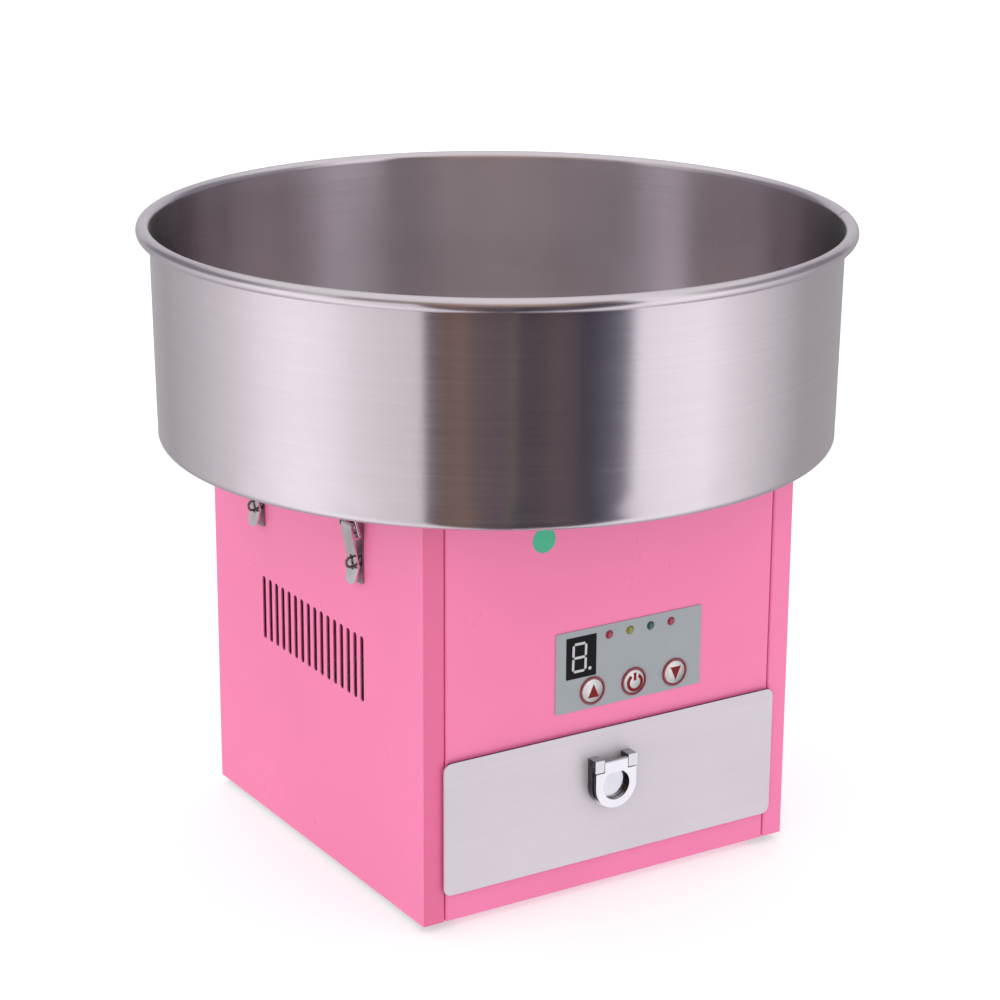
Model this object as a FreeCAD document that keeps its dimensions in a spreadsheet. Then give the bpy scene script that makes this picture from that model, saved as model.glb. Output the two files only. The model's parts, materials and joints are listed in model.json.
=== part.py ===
import math
import os
from collections import namedtuple

import FreeCAD
import Part
import Sketcher

# Countertop cotton candy machine: a folded sheet cabinet with a drawer, a
# vertical motor and heated spinner head, and a lift-off bowl held by four
# toggle latches.  Frame: origin on the table under the cabinet's centre,
# +X to the right seen from the front, front towards -Y, +Z up.  Millimetres.

doc = FreeCAD.newDocument("CottonCandyMachine")

# ---------------------------------------------------------------- dimensions
SIZES = [
    # cabinet
    ("cabinet_width", 312), ("cabinet_depth", 317), ("skirt_z", 6), ("panel_top_z", 301.5),
    ("sheet", 1.0), ("bend_outer", 1.6), ("bend_inner", 0.6),
    ("flange_width", 17.3), ("lip_depth", 10), ("seam_gap", 0.9), ("front_return", 12),
    ("deck_sheet", 1.5), ("deck_hole_radius", 22), ("top_lip_width", 15), ("top_lip_half", 145),
    ("floor_z", 8), ("floor_flange", 12), ("foot_inset", 27), ("foot_radius", 11),
    ("rear_cover_half", 150), ("rear_cover_sheet", 1.2), ("rear_cover_low", 12), ("rear_cover_high", 297),
    # ventilation slots
    ("slot_count", 16), ("slot_pitch", 10), ("slot_width", 5.2), ("slot_low_z", 146.3), ("slot_high_z", 195.7),
    ("slot_centre_y", 1.75),
    # drawer
    ("drawer_front_half", 141.1), ("drawer_front_low", 26.6), ("drawer_front_high", 126.5),
    ("drawer_front_corner", 6), ("drawer_front_sheet", 1.4), ("drawer_front_gap", 2.1),
    ("drawer_half", 130), ("drawer_low", 31), ("drawer_high", 112), ("drawer_back_y", 85),
    ("drawer_sheet", 0.8), ("drawer_lip", 3), ("drawer_opening_half", 133.5),
    ("drawer_opening_low", 28.8), ("drawer_opening_high", 117),
    ("runner_sheet", 1.2), ("runner_half_length", 140), ("runner_gap", 0.5), ("runner_height", 14),
    # handle
    ("handle_x", -4.5), ("handle_ring_z", 85.2), ("handle_ring_radius", 17.2), ("handle_hole_radius", 11.3),
    ("handle_base_radius", 17.9), ("handle_base_thick", 5.8), ("handle_ring_thick", 3.6),
    ("handle_ring_gap", 0.6), ("handle_pin_z", 103), ("handle_pin_radius", 1.1),
    ("handle_tongue_half", 9.8), ("handle_shoulder_z", 96.2), ("knuckle_low_z", 97),
    ("knuckle_high_z", 106.2), ("knuckle_inner", 10.3), ("knuckle_overlap", 3), ("running_gap", 0.06),
    # control panel
    ("overlay_left", -48.8), ("overlay_right", 75.5), ("overlay_low", 142.8), ("overlay_high", 203.2),
    ("overlay_thick", 0.7), ("window_left", -40.2), ("window_right", -15.0), ("window_low", 167.5),
    ("window_high", 198.5), ("led_z", 195.4), ("led_radius", 3.1), ("led_first_x", -4.15),
    ("led_pitch", 17.7), ("led_height", 1.9),
    ("button_z", 155.8), ("button_first_x", -17.9), ("button_pitch", 35.4),
    ("button_radius", 8.7), ("button_edge", 1.5), ("button_top", 2.5), ("button_stem", 3),
    ("button_tail", 7.2), ("bezel_outer", 10.6), ("bezel_inner", 8.95), ("bezel_height", 1.2),
    ("board_gap", 9), ("board_thick", 1.6), ("sticker_x", -59.2), ("sticker_z", 274.8),
    ("sticker_radius", 9.3),
    # power inlet in the rear cover
    ("inlet_x", 95), ("inlet_z", 70), ("inlet_half_width", 14), ("inlet_half_height", 24),
    ("inlet_border", 4), ("inlet_flange", 2.4), ("inlet_depth", 26), ("inlet_gap", 0.3),
    ("socket_half_width", 12), ("socket_low", -21), ("socket_high", -5), ("socket_depth", 16),
    ("blade_spread", 7), ("blade_z", -15), ("blade_step", 4), ("fuse_half_width", 11),
    ("fuse_low", 4), ("fuse_high", 20), ("fuse_proud", 1),
    # bowl
    ("bowl_rim_z", 466.5), ("bowl_low_z", 306.8), ("bowl_sheet", 0.8), ("bowl_top_radius", 250.6),
    ("bowl_low_radius", 248.6), ("bowl_corner", 6), ("curl_radius", 5.1), ("bowl_flange_radius", 232),
    ("bowl_floor_radius", 241), ("collar_radius", 98), ("collar_height", 22),
    ("gasket_inner", 118), ("gasket_outer", 128), ("seat_gap", 0.3),
    # bowl keepers; out is measured from the side panel's face
    ("keeper_low", 297.6), ("keeper_root", 3.6), ("keeper_tip", 9.4), ("keeper_lip", 301.6),
    ("keeper_half", 7), ("keeper_sheet", 1.2), ("keeper_tab", 12),
    # drive
    ("shaft_radius", 6), ("shaft_low_z", 130), ("shaft_top_z", 356), ("motor_radius", 56),
    ("motor_low_z", 163), ("motor_high_z", 262), ("motor_shell", 2.5), ("bearing_radius", 13),
    ("bearing_height", 8), ("bearing_gap", 0.05), ("rotor_radius", 36), ("stator_inner", 37),
    ("core_low_z", 186), ("core_high_z", 238), ("fan_radius", 50), ("fan_low_z", 138), ("fan_height", 18),
    ("motor_plate_half", 68), ("motor_plate_thick", 3), ("isolator_spread", 55), ("isolator_radius", 10),
    ("sleeve_radius", 14), ("slip_ring_radius", 17), ("slip_ring_height", 6), ("slip_ring_z", 273),
    ("slip_ring_pitch", 14), ("brush_side", 5), ("brush_gap", 0.05), ("brush_length", 18),
    ("sleeve_low_z", 268), ("sleeve_high_z", 300),
    # spinner head
    ("head_low_z", 322), ("head_radius", 81), ("band_radius", 78), ("band_sheet", 1), ("band_low_z", 331),
    ("band_height", 28), ("band_slots", 48), ("band_slot", 2), ("well_radius", 40), ("element_radius", 70),
    ("element_height", 24), ("dish_hub", 15), ("dish_floor", 4), ("dish_boss", 16), ("nut_washer", 11),
    ("nut_across", 9.5), ("nut_height", 12), ("shield_radius", 86), ("shield_height", 10),
    # latches; out is measured from the side panel's face
    ("latch_front_y", -69.2), ("latch_rear_y", 81.1), ("latch_plate_low", 235.5), ("latch_plate_high", 297),
    ("latch_half", 8.8), ("latch_sheet", 1.2), ("latch_pin_out", 7.2), ("latch_pin_z", 278.5),
    ("latch_pin_radius", 1.0), ("lever_half", 7.3), ("curl_outer", 2.1), ("bail_out", 3.8), ("bail_z", 270.9),
    ("bail_wire", 1.0), ("bail_half", 10.3), ("bail_bar_out", 11.2), ("bail_bar_z", 300),
    ("staple_out", 5.9), ("staple_z", 250.6), ("staple_ring", 3.55), ("staple_wire", 1.0),
    ("lever_elbow_z", 248.3), ("lever_elbow_out", 2.7), ("lever_tip_z", 234.6), ("lever_tip_out", 6),
    ("ear_boss", 2.4),
]
sheet = doc.addObject("Spreadsheet::Sheet", "Sizes")
for row, (alias, number) in enumerate(SIZES, start=1):
    sheet.set(f"A{row}", alias)
    sheet.set(f"B{row}", str(number))
    sheet.setAlias(f"B{row}", alias)
doc.recompute()


class Size:
    """A number together with the sheet expression that gives it."""

    def __init__(self, value, text):
        self.value = value
        self.text = text

    def __add__(self, other):
        other = as_size(other)
        return Size(self.value + other.value, f"({self.text} + {other.text})")

    def __radd__(self, other):
        return as_size(other) + self

    def __sub__(self, other):
        other = as_size(other)
        return Size(self.value - other.value, f"({self.text} - {other.text})")

    def __rsub__(self, other):
        return as_size(other) - self

    def __mul__(self, other):
        other = as_size(other)
        return Size(self.value * other.value, f"({self.text} * {other.text})")

    def __rmul__(self, other):
        return as_size(other) * self

    def __truediv__(self, other):
        other = as_size(other)
        return Size(self.value / other.value, f"({self.text} / {other.text})")

    def __neg__(self):
        return Size(-self.value, f"(0 - {self.text})")


def as_size(number):
    if isinstance(number, Size):
        return number
    return Size(float(number), f"({float(number)})")


class SheetSizes:
    """Gives each alias of the sheet as a Size."""

    def __getattr__(self, alias):
        return Size(float(sheet.get(alias)), f"Sizes.{alias}")


s = SheetSizes()
half_width = s.cabinet_width / 2
half_depth = s.cabinet_depth / 2
deck_z = s.panel_top_z + s.deck_sheet
drawer_face_y = 0 - half_depth - s.drawer_front_gap - s.drawer_front_sheet

# ------------------------------------------------------------------- helpers
Corner = namedtuple("Corner", "x y radius", defaults=(0,))
Circle = namedtuple("Circle", "x y radius")
XY, XZ, YZ = "XY_Plane", "XZ_Plane", "YZ_Plane"
FACING_FRONT = FreeCAD.Rotation(FreeCAD.Vector(1, 0, 0), 90)
FACING_BACK = FreeCAD.Rotation(FreeCAD.Vector(1, 0, 0), -90)
FACING_LEFT = FreeCAD.Rotation(FreeCAD.Vector(0, 0, 1), 180)
subparts = []


def bind(item, name, size):
    item.setExpression(name, as_size(size).text)


def place(item, x=0, y=0, z=0, rotation=None):
    """Gives an object its place, and a turn where it needs one."""
    if rotation is not None:
        item.Placement = FreeCAD.Placement(FreeCAD.Vector(0, 0, 0), rotation)
    for name, size in (("x", x), ("y", y), ("z", z)):
        bind(item, f"Placement.Base.{name}", size)
    return item


def subpart(item, label):
    item.Label = label
    subparts.append(item)
    return item


def new_body(label):
    return subpart(doc.addObject("PartDesign::Body", label), label)


def rectangle(x_low, x_high, y_low, y_high, radius=0):
    return [Corner(x_low, y_low, radius), Corner(x_high, y_low, radius),
            Corner(x_high, y_high, radius), Corner(x_low, y_high, radius)]


def pin_down(sketch, geometry, position, x, y):
    """Ties a point to its place from the sketch's origin."""
    for kind, size, axis in (("DistanceX", as_size(x), -2), ("DistanceY", as_size(y), -1)):
        if abs(size.value) < 1e-9:
            sketch.addConstraint(Sketcher.Constraint("PointOnObject", geometry, position, axis))
            continue
        index = sketch.addConstraint(Sketcher.Constraint(kind, -1, 1, geometry, position, size.value))
        bind(sketch, f"Constraints[{index}]", size)


def draw_circle(sketch, circle):
    centre = FreeCAD.Vector(as_size(circle.x).value, as_size(circle.y).value, 0)
    radius = as_size(circle.radius)
    ring = sketch.addGeometry(Part.Circle(centre, FreeCAD.Vector(0, 0, 1), radius.value))
    pin_down(sketch, ring, 3, circle.x, circle.y)
    index = sketch.addConstraint(Sketcher.Constraint("Radius", ring, radius.value))
    bind(sketch, f"Constraints[{index}]", radius)


def draw_outline(sketch, corners, closed=True):
    """Straight edges from corner to corner, each corner rounded to its radius."""
    count = len(corners)
    points = [FreeCAD.Vector(as_size(c.x).value, as_size(c.y).value, 0) for c in corners]
    radii = [as_size(c.radius) for c in corners]
    enter, leave, arcs = [], [], {}
    for i, point in enumerate(points):
        before = (points[i - 1] - point).normalize()
        after = (points[(i + 1) % count] - point).normalize()
        reach = 0.0
        if radii[i].value > 0:
            half_angle = before.getAngle(after) / 2
            reach = radii[i].value / math.tan(half_angle)
            centre = point + (before + after).normalize() * (radii[i].value / math.sin(half_angle))
        enter.append(point + before * reach)
        leave.append(point + after * reach)
        if reach:
            start, end = enter[i] - centre, leave[i] - centre
            turns_left = start.cross(end).z > 0
            if not turns_left:
                start, end = end, start
            first = math.atan2(start.y, start.x)
            last = math.atan2(end.y, end.x)
            last += 2 * math.pi if last < first else 0
            whole = Part.Circle(centre, FreeCAD.Vector(0, 0, 1), radii[i].value)
            arcs[i] = (Part.ArcOfCircle(whole, first, last), turns_left)
    edge_count = count if closed else count - 1
    edges = [sketch.addGeometry(Part.LineSegment(leave[i], enter[(i + 1) % count]))
             for i in range(edge_count)]
    for i, corner in enumerate(corners):
        has_before = closed or i > 0
        has_after = closed or i < count - 1
        if i not in arcs:
            edge, end = (edges[i], 1) if has_after else (edges[i - 1], 2)
            if has_before and has_after:
                sketch.addConstraint(Sketcher.Constraint("Coincident", edges[i - 1], 2, edges[i], 1))
            pin_down(sketch, edge, end, corner.x, corner.y)
            continue
        arc, turns_left = arcs[i]
        bend = sketch.addGeometry(arc)
        start, end = (1, 2) if turns_left else (2, 1)
        sketch.addConstraint(Sketcher.Constraint("Tangent", edges[i - 1], 2, bend, start))
        sketch.addConstraint(Sketcher.Constraint("Tangent", bend, end, edges[i], 1))
        index = sketch.addConstraint(Sketcher.Constraint("Radius", bend, radii[i].value))
        bind(sketch, f"Constraints[{index}]", radii[i])
        apex = sketch.addGeometry(Part.Point(points[i]), True)
        sketch.addConstraint(Sketcher.Constraint("PointOnObject", apex, 1, edges[i - 1]))
        sketch.addConstraint(Sketcher.Constraint("PointOnObject", apex, 1, edges[i]))
        pin_down(sketch, apex, 1, corner.x, corner.y)


def new_sketch(body, plane, start, loops, closed=True):
    """A sketch parallel to one of the body's origin planes, start along its normal."""
    sketch = body.newObject("Sketcher::SketchObject", f"{body.Name}_sketch")
    support = next(item for item in body.Origin.OriginFeatures if item.Role == plane)
    sketch.AttachmentSupport = (support, [""])
    sketch.MapMode = "FlatFace"
    bind(sketch, "AttachmentOffset.Base.z", start)
    for loop in loops:
        if isinstance(loop, Circle):
            draw_circle(sketch, loop)
        else:
            draw_outline(sketch, loop, closed)
    return sketch


def pad(body, plane, start, loops, length):
    """Adds material from start along the plane's normal."""
    feature = body.newObject("PartDesign::Pad", f"{body.Name}_pad")
    feature.Profile = new_sketch(body, plane, start, loops)
    bind(feature, "Length", length)
    return feature


def pocket(body, plane, start, loops, length):
    """Cuts from start along the plane's normal."""
    feature = body.newObject("PartDesign::Pocket", f"{body.Name}_pocket")
    feature.Profile = new_sketch(body, plane, start, loops)
    feature.Reversed = True
    bind(feature, "Length", length)
    return feature


def revolve(body, loops):
    """Turns a radius-height profile about the body's Z axis."""
    sketch = new_sketch(body, XZ, 0, loops)
    feature = body.newObject("PartDesign::Revolution", f"{body.Name}_turn")
    feature.Profile = sketch
    feature.ReferenceAxis = (sketch, ["V_Axis"])
    feature.Angle = 360
    return feature


def repeat_along(body, feature, axis, count, span):
    """Repeats a feature in a row along its sketch's own axis."""
    pattern = body.newObject("PartDesign::LinearPattern", f"{body.Name}_row")
    pattern.Originals = [feature]
    pattern.Direction = (feature.Profile[0], [axis])
    bind(pattern, "Length", span)
    bind(pattern, "Occurrences", count)
    body.Tip = pattern


def repeat_around(body, feature, count):
    """Repeats a feature evenly about the body's Z axis."""
    pattern = body.newObject("PartDesign::PolarPattern", f"{body.Name}_ring")
    pattern.Originals = [feature]
    z_axis = next(item for item in body.Origin.OriginFeatures if item.Role == "Z_Axis")
    pattern.Axis = (z_axis, [""])
    pattern.Angle = 360
    bind(pattern, "Occurrences", count)
    body.Tip = pattern


def box(name, x_low, x_high, y_low, y_high, z_low, z_high):
    item = doc.addObject("Part::Box", name)
    bind(item, "Length", as_size(x_high) - x_low)
    bind(item, "Width", as_size(y_high) - y_low)
    bind(item, "Height", as_size(z_high) - z_low)
    return place(item, x_low, y_low, z_low)


def cylinder(name, radius, length, x, y, z, rotation=None):
    item = doc.addObject("Part::Cylinder", name)
    bind(item, "Radius", radius)
    bind(item, "Height", length)
    return place(item, x, y, z, rotation)


def ring(name, outer, inner, length, x, y, z, rotation=None):
    return cut(name, cylinder(f"{name}_outer", outer, length, x, y, z, rotation),
               cylinder(f"{name}_bore", inner, length, x, y, z, rotation))


def cut(name, base, tool):
    item = doc.addObject("Part::Cut", name)
    item.Base = base
    item.Tool = tool
    return item


def fuse(name, members):
    item = doc.addObject("Part::MultiFuse", name)
    item.Shapes = members
    return item


def group(label, members):
    """Identical pieces that share one node, each still a solid of its own."""
    item = doc.addObject("Part::Compound", label)
    item.Links = members
    return subpart(item, label)


def fillet_edges(body, feature, radius, wanted):
    """Rounds the feature's edges that the test picks."""
    doc.recompute()
    names = [f"Edge{i}" for i, edge in enumerate(feature.Shape.Edges, start=1) if wanted(edge)]
    item = body.newObject("PartDesign::Fillet", f"{body.Name}_round")
    item.Base = (feature, names)
    bind(item, "Radius", radius)
    return item


# ------------------------------------------------------------------- cabinet
SCREW_HOLE_RADIUS = 2.1
DECK_SCREW_X = 147
DECK_SCREW_Y = (-120, -40, 40, 120)
REAR_SCREW_X = 146
REAR_SCREW_Z = (30, 156, 282)
SCREW_HEAD_RADIUS = 3.6
SCREW_HEAD_HEIGHT = 2.2
SCREW_SHANK_RADIUS = 1.95
SCREW_LENGTH = 7


def side_panel(label, side):
    """A C of folded sheet: web, front and rear flanges with lips, and a top lip."""
    body = new_body(label)
    outer_x, inner_x = side * half_width, side * (half_width - s.sheet)
    edge_x = side * (half_width - s.flange_width)
    lip_x = side * (half_width - s.flange_width + s.sheet)
    outer_y, inner_y = half_depth, half_depth - s.sheet
    lip_y = half_depth - s.lip_depth
    section = [
        Corner(edge_x, 0 - lip_y), Corner(edge_x, 0 - outer_y, s.bend_outer),
        Corner(outer_x, 0 - outer_y, s.bend_outer), Corner(outer_x, outer_y, s.bend_outer),
        Corner(edge_x, outer_y, s.bend_outer), Corner(edge_x, lip_y),
        Corner(lip_x, lip_y), Corner(lip_x, inner_y, s.bend_inner),
        Corner(inner_x, inner_y, s.bend_inner), Corner(inner_x, 0 - inner_y, s.bend_inner),
        Corner(lip_x, 0 - inner_y, s.bend_inner), Corner(lip_x, 0 - lip_y),
    ]
    pad(body, XY, s.skirt_z, [section], s.panel_top_z - s.skirt_z)
    lip_near = side * (half_width - s.sheet / 2)
    lip_far = side * (half_width - s.top_lip_width)
    x_low, x_high = (lip_far, lip_near) if side > 0 else (lip_near, lip_far)
    pad(body, XY, s.panel_top_z - s.sheet,
        [rectangle(x_low, x_high, 0 - s.top_lip_half, s.top_lip_half)], s.sheet)
    screws = [Circle(side * DECK_SCREW_X, y, SCREW_HOLE_RADIUS) for y in DECK_SCREW_Y]
    pocket(body, XY, s.panel_top_z - 2 * s.sheet, screws, 4 * s.sheet)
    rear_screws = [Circle(side * REAR_SCREW_X, z, SCREW_HOLE_RADIUS) for z in REAR_SCREW_Z]
    pocket(body, XZ, 0 - half_depth - s.sheet, rear_screws, 3 * s.sheet)
    first_y = s.slot_centre_y - s.slot_pitch * (s.slot_count - 1) / 2
    slot = rectangle(first_y - s.slot_width / 2, first_y + s.slot_width / 2,
                     s.slot_low_z, s.slot_high_z, s.slot_width * 0.49)
    start = outer_x - s.sheet * (2 if side > 0 else 1)
    slots = pocket(body, YZ, start, [slot], 3 * s.sheet)
    repeat_along(body, slots, "H_Axis", s.slot_count, s.slot_pitch * (s.slot_count - 1))


side_panel("left_side_panel", -1)
side_panel("right_side_panel", 1)


def button_x(index):
    return s.button_first_x + s.button_pitch * index


def led_x(index):
    return s.led_first_x + s.led_pitch * index


def control_holes(margin):
    """Holes for the display, the lamps and the buttons."""
    holes = [rectangle(s.window_left - margin, s.window_right + margin,
                       s.window_low - margin, s.window_high + margin)]
    holes += [Circle(led_x(i), s.led_z, s.led_radius + margin) for i in range(4)]
    holes += [Circle(button_x(i), s.button_z, s.bezel_inner) for i in range(3)]
    return holes


def front_panel():
    body = new_body("front_panel")
    edge = half_width - s.flange_width - s.seam_gap
    face, inner = 0 - half_depth, s.sheet - half_depth
    back = s.front_return - half_depth
    section = [
        Corner(0 - edge, back), Corner(0 - edge, face, s.bend_outer),
        Corner(edge, face, s.bend_outer), Corner(edge, back),
        Corner(edge - s.sheet, back), Corner(edge - s.sheet, inner, s.bend_inner),
        Corner(s.sheet - edge, inner, s.bend_inner), Corner(s.sheet - edge, back),
    ]
    pad(body, XY, s.skirt_z, [section], s.panel_top_z - s.skirt_z)
    lip = rectangle(0 - s.drawer_half, s.drawer_half, inner - s.sheet / 2, back)
    pad(body, XY, s.skirt_z, [lip], s.sheet)
    pad(body, XY, s.panel_top_z - s.sheet, [lip], s.sheet)
    opening = rectangle(0 - s.drawer_opening_half, s.drawer_opening_half,
                        s.drawer_opening_low, s.drawer_opening_high, 2)
    pocket(body, XZ, half_depth - 2 * s.sheet, [opening], 3 * s.sheet)
    pocket(body, XZ, half_depth - 2 * s.sheet, control_holes(0.2), 3 * s.sheet)


front_panel()


def rear_panel():
    """A flat screwed-on cover with its own slots and the inlet's cut-out."""
    body = new_body("rear_panel")
    start = 0 - half_depth - s.rear_cover_sheet
    pad(body, XZ, start,
        [rectangle(0 - s.rear_cover_half, s.rear_cover_half, s.rear_cover_low, s.rear_cover_high, 4)],
        s.rear_cover_sheet)
    holes = [Circle(x, z, SCREW_HOLE_RADIUS) for x in (-REAR_SCREW_X, REAR_SCREW_X) for z in REAR_SCREW_Z]
    holes.append(rectangle(s.inlet_x - s.inlet_half_width, s.inlet_x + s.inlet_half_width,
                           s.inlet_z - s.inlet_half_height, s.inlet_z + s.inlet_half_height))
    pocket(body, XZ, start - 1, holes, s.rear_cover_sheet + 2)
    first_x = 0 - s.slot_pitch * (s.slot_count - 1) / 2
    slot = rectangle(first_x - s.slot_width / 2, first_x + s.slot_width / 2,
                     s.slot_low_z, s.slot_high_z, s.slot_width * 0.49)
    slots = pocket(body, XZ, start - 1, [slot], s.rear_cover_sheet + 2)
    repeat_along(body, slots, "H_Axis", s.slot_count, s.slot_pitch * (s.slot_count - 1))


rear_panel()


def bottom_plate():
    """A shallow channel between the side panels' webs."""
    body = new_body("bottom_plate")
    outer = half_width - s.sheet
    top = s.floor_z + s.floor_flange
    section = [
        Corner(0 - outer, top), Corner(0 - outer, s.floor_z, s.bend_outer),
        Corner(outer, s.floor_z, s.bend_outer), Corner(outer, top),
        Corner(outer - s.sheet, top), Corner(outer - s.sheet, s.floor_z + s.sheet, s.bend_inner),
        Corner(s.sheet - outer, s.floor_z + s.sheet, s.bend_inner), Corner(s.sheet - outer, top),
    ]
    length = half_depth - s.front_return - s.sheet
    pad(body, XZ, 0 - length, [section], 2 * length)


bottom_plate()


def top_deck():
    body = new_body("top_deck")
    outline = rectangle(0 - half_width, half_width, 0 - half_depth, half_depth, s.bend_outer)
    holes = [Circle(0, 0, s.deck_hole_radius)]
    holes += [Circle(x, y, SCREW_HOLE_RADIUS) for x in (-DECK_SCREW_X, DECK_SCREW_X) for y in DECK_SCREW_Y]
    pad(body, XY, s.panel_top_z, [outline] + holes, s.deck_sheet)


top_deck()


def rubber_feet():
    """Four slightly tapered rubber feet under the bottom plate."""
    feet = []
    for x_side in (-1, 1):
        for y_side in (-1, 1):
            foot = doc.addObject("Part::Cone", "foot")
            bind(foot, "Radius1", s.foot_radius - 1.5)
            bind(foot, "Radius2", s.foot_radius)
            bind(foot, "Height", s.floor_z)
            place(foot, x_side * (half_width - s.foot_inset), y_side * (half_depth - s.foot_inset), 0)
            feet.append(foot)
    group("rubber_feet", feet)


rubber_feet()


def pan_screw(x, y, z, rotation=None):
    """A pan head screw; its head's underside is at the given point, pointing down."""
    body = doc.addObject("PartDesign::Body", "screw")
    revolve(body, [[Corner(0, -SCREW_LENGTH), Corner(SCREW_SHANK_RADIUS, -SCREW_LENGTH),
                    Corner(SCREW_SHANK_RADIUS, 0), Corner(SCREW_HEAD_RADIUS, 0),
                    Corner(SCREW_HEAD_RADIUS, SCREW_HEAD_HEIGHT, 1.2), Corner(0, SCREW_HEAD_HEIGHT)]])
    return place(body, x, y, z, rotation)


def panel_screws():
    screws = [pan_screw(x, y, deck_z) for x in (-DECK_SCREW_X, DECK_SCREW_X) for y in DECK_SCREW_Y]
    rear_y = half_depth + s.rear_cover_sheet
    screws += [pan_screw(x, rear_y, z, FACING_BACK)
               for x in (-REAR_SCREW_X, REAR_SCREW_X) for z in REAR_SCREW_Z]
    group("panel_screws", screws)


panel_screws()

# ------------------------------------------------------------ control panel
overlay_y = 0 - half_depth - s.overlay_thick


def control_overlay():
    body = new_body("control_overlay")
    pad(body, XZ, half_depth,
        [rectangle(s.overlay_left, s.overlay_right, s.overlay_low, s.overlay_high, 1)] + control_holes(0.1),
        s.overlay_thick)


def display_module():
    """The one-digit display, its face just proud of the overlay."""
    body = new_body("display_module")
    proud = 0.2
    pad(body, XZ, half_depth - s.sheet - s.board_gap,
        [rectangle(s.window_left, s.window_right, s.window_low, s.window_high, 0.6)],
        s.sheet + s.board_gap + s.overlay_thick + proud)


def lamp(x):
    """A round indicator lamp with a low dome, its axis towards the front."""
    body = doc.addObject("PartDesign::Body", "lamp")
    depth = s.board_gap + s.sheet
    revolve(body, [[Corner(0, 0 - depth), Corner(s.led_radius, 0 - depth),
                    Corner(s.led_radius, s.led_height, 1.8), Corner(0, s.led_height)]])
    return place(body, x, 0 - half_depth, s.led_z, FACING_FRONT)


def button(label, index):
    """A domed push button with a stem towards its switch."""
    body = new_body(label)
    skirt = 0 - s.sheet
    revolve(body, [[Corner(0, 0 - s.button_tail), Corner(s.button_stem, 0 - s.button_tail),
                    Corner(s.button_stem, skirt), Corner(s.button_radius, skirt),
                    Corner(s.button_radius, s.button_edge, 0.6),
                    Corner(s.button_radius * 0.62, s.button_top, 6), Corner(0, s.button_top)]])
    return place(body, button_x(index), 0 - half_depth, s.button_z, FACING_FRONT)


def button_bezels():
    rings = []
    for i in range(3):
        body = doc.addObject("PartDesign::Body", "bezel")
        low = s.overlay_thick
        high = low + s.bezel_height
        revolve(body, [[Corner(s.bezel_inner, low), Corner(s.bezel_outer, low),
                        Corner(s.bezel_outer, high, 0.7), Corner(s.bezel_inner, high, 0.4)]])
        rings.append(place(body, button_x(i), 0 - half_depth, s.button_z, FACING_FRONT))
    group("button_bezels", rings)


def control_board():
    """The circuit board with three switches and four soldered standoffs."""
    board_y = s.sheet + s.board_gap - half_depth
    board = box("board", s.overlay_left - 3, s.overlay_right + 3, board_y, board_y + s.board_thick,
                s.overlay_low - 3, s.overlay_high + 3)
    switches = [box("switch", button_x(i) - 3, button_x(i) + 3, board_y - 1.4, board_y,
                    s.button_z - 3, s.button_z + 3) for i in range(3)]
    standoffs = [cylinder("standoff", 2.5, s.board_gap, x, s.sheet - half_depth, z, FACING_BACK)
                 for x in (s.overlay_left + 2, s.overlay_right - 2)
                 for z in (s.overlay_low + 2, s.overlay_high - 1)]
    subpart(fuse("control_board", [board] + switches + standoffs), "control_board")


def sticker():
    body = new_body("inspection_sticker")
    pad(body, XZ, half_depth, [Circle(s.sticker_x, s.sticker_z, s.sticker_radius)], 0.15)


control_overlay()
display_module()
group("leds_red", [lamp(led_x(0)), lamp(led_x(3))])
subpart(lamp(led_x(1)), "led_yellow")
subpart(lamp(led_x(2)), "led_green")
for number, name in enumerate(("button_up", "button_power", "button_down")):
    button(name, number)
button_bezels()
control_board()
sticker()


def power_inlet():
    """A flanged appliance inlet with a recess, three blades and a fuse drawer."""
    outer_y = half_depth + s.rear_cover_sheet

    def block(name, half, y_low, y_high, z_low, z_high):
        """A box centred across the inlet; the y sizes are from the cover's face."""
        return box(name, s.inlet_x - half, s.inlet_x + half, outer_y + y_low, outer_y + y_high,
                   s.inlet_z + z_low, s.inlet_z + z_high)

    border = s.inlet_half_height + s.inlet_border + 2
    flange = block("inlet_flange", s.inlet_half_width + s.inlet_border, 0, s.inlet_flange, 0 - border, border)
    inside = s.inlet_half_height - s.inlet_gap
    shell = block("inlet_shell", s.inlet_half_width - s.inlet_gap, 0 - s.inlet_depth, 0, 0 - inside, inside)
    recess = block("inlet_recess", s.socket_half_width, 0 - s.socket_depth, s.inlet_flange + 1,
                   s.socket_low, s.socket_high)
    fuse_drawer = block("fuse_drawer", s.fuse_half_width, s.inlet_flange - 0.4, s.inlet_flange + s.fuse_proud,
                        s.fuse_low, s.fuse_high)
    housing = cut("inlet_housing", fuse("inlet_solid", [flange, shell]), recess)
    blades = []
    for step in (-1, 0, 1):
        x = s.inlet_x + s.blade_spread * step
        z = s.inlet_z + s.blade_z + (0 if step else s.blade_step)
        blades.append(box("blade", x - 1, x + 1, outer_y - s.socket_depth - 1, outer_y - 3, z - 3, z + 3))
    subpart(fuse("power_inlet", [housing, fuse_drawer] + blades), "power_inlet")


power_inlet()

# -------------------------------------------------------------------- drawer
drawer_back_of_front = drawer_face_y + s.drawer_front_sheet


def drawer_front():
    body = new_body("drawer_front")
    plate = pad(body, XZ, 0 - drawer_back_of_front,
                [rectangle(0 - s.drawer_front_half, s.drawer_front_half, s.drawer_front_low,
                           s.drawer_front_high, s.drawer_front_corner)], s.drawer_front_sheet)
    outer = drawer_face_y.value
    fillet_edges(body, plate, 0.5, lambda edge: abs(edge.BoundBox.YMin - outer) < 1e-4
                 and edge.BoundBox.YLength < 1e-4)


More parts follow.
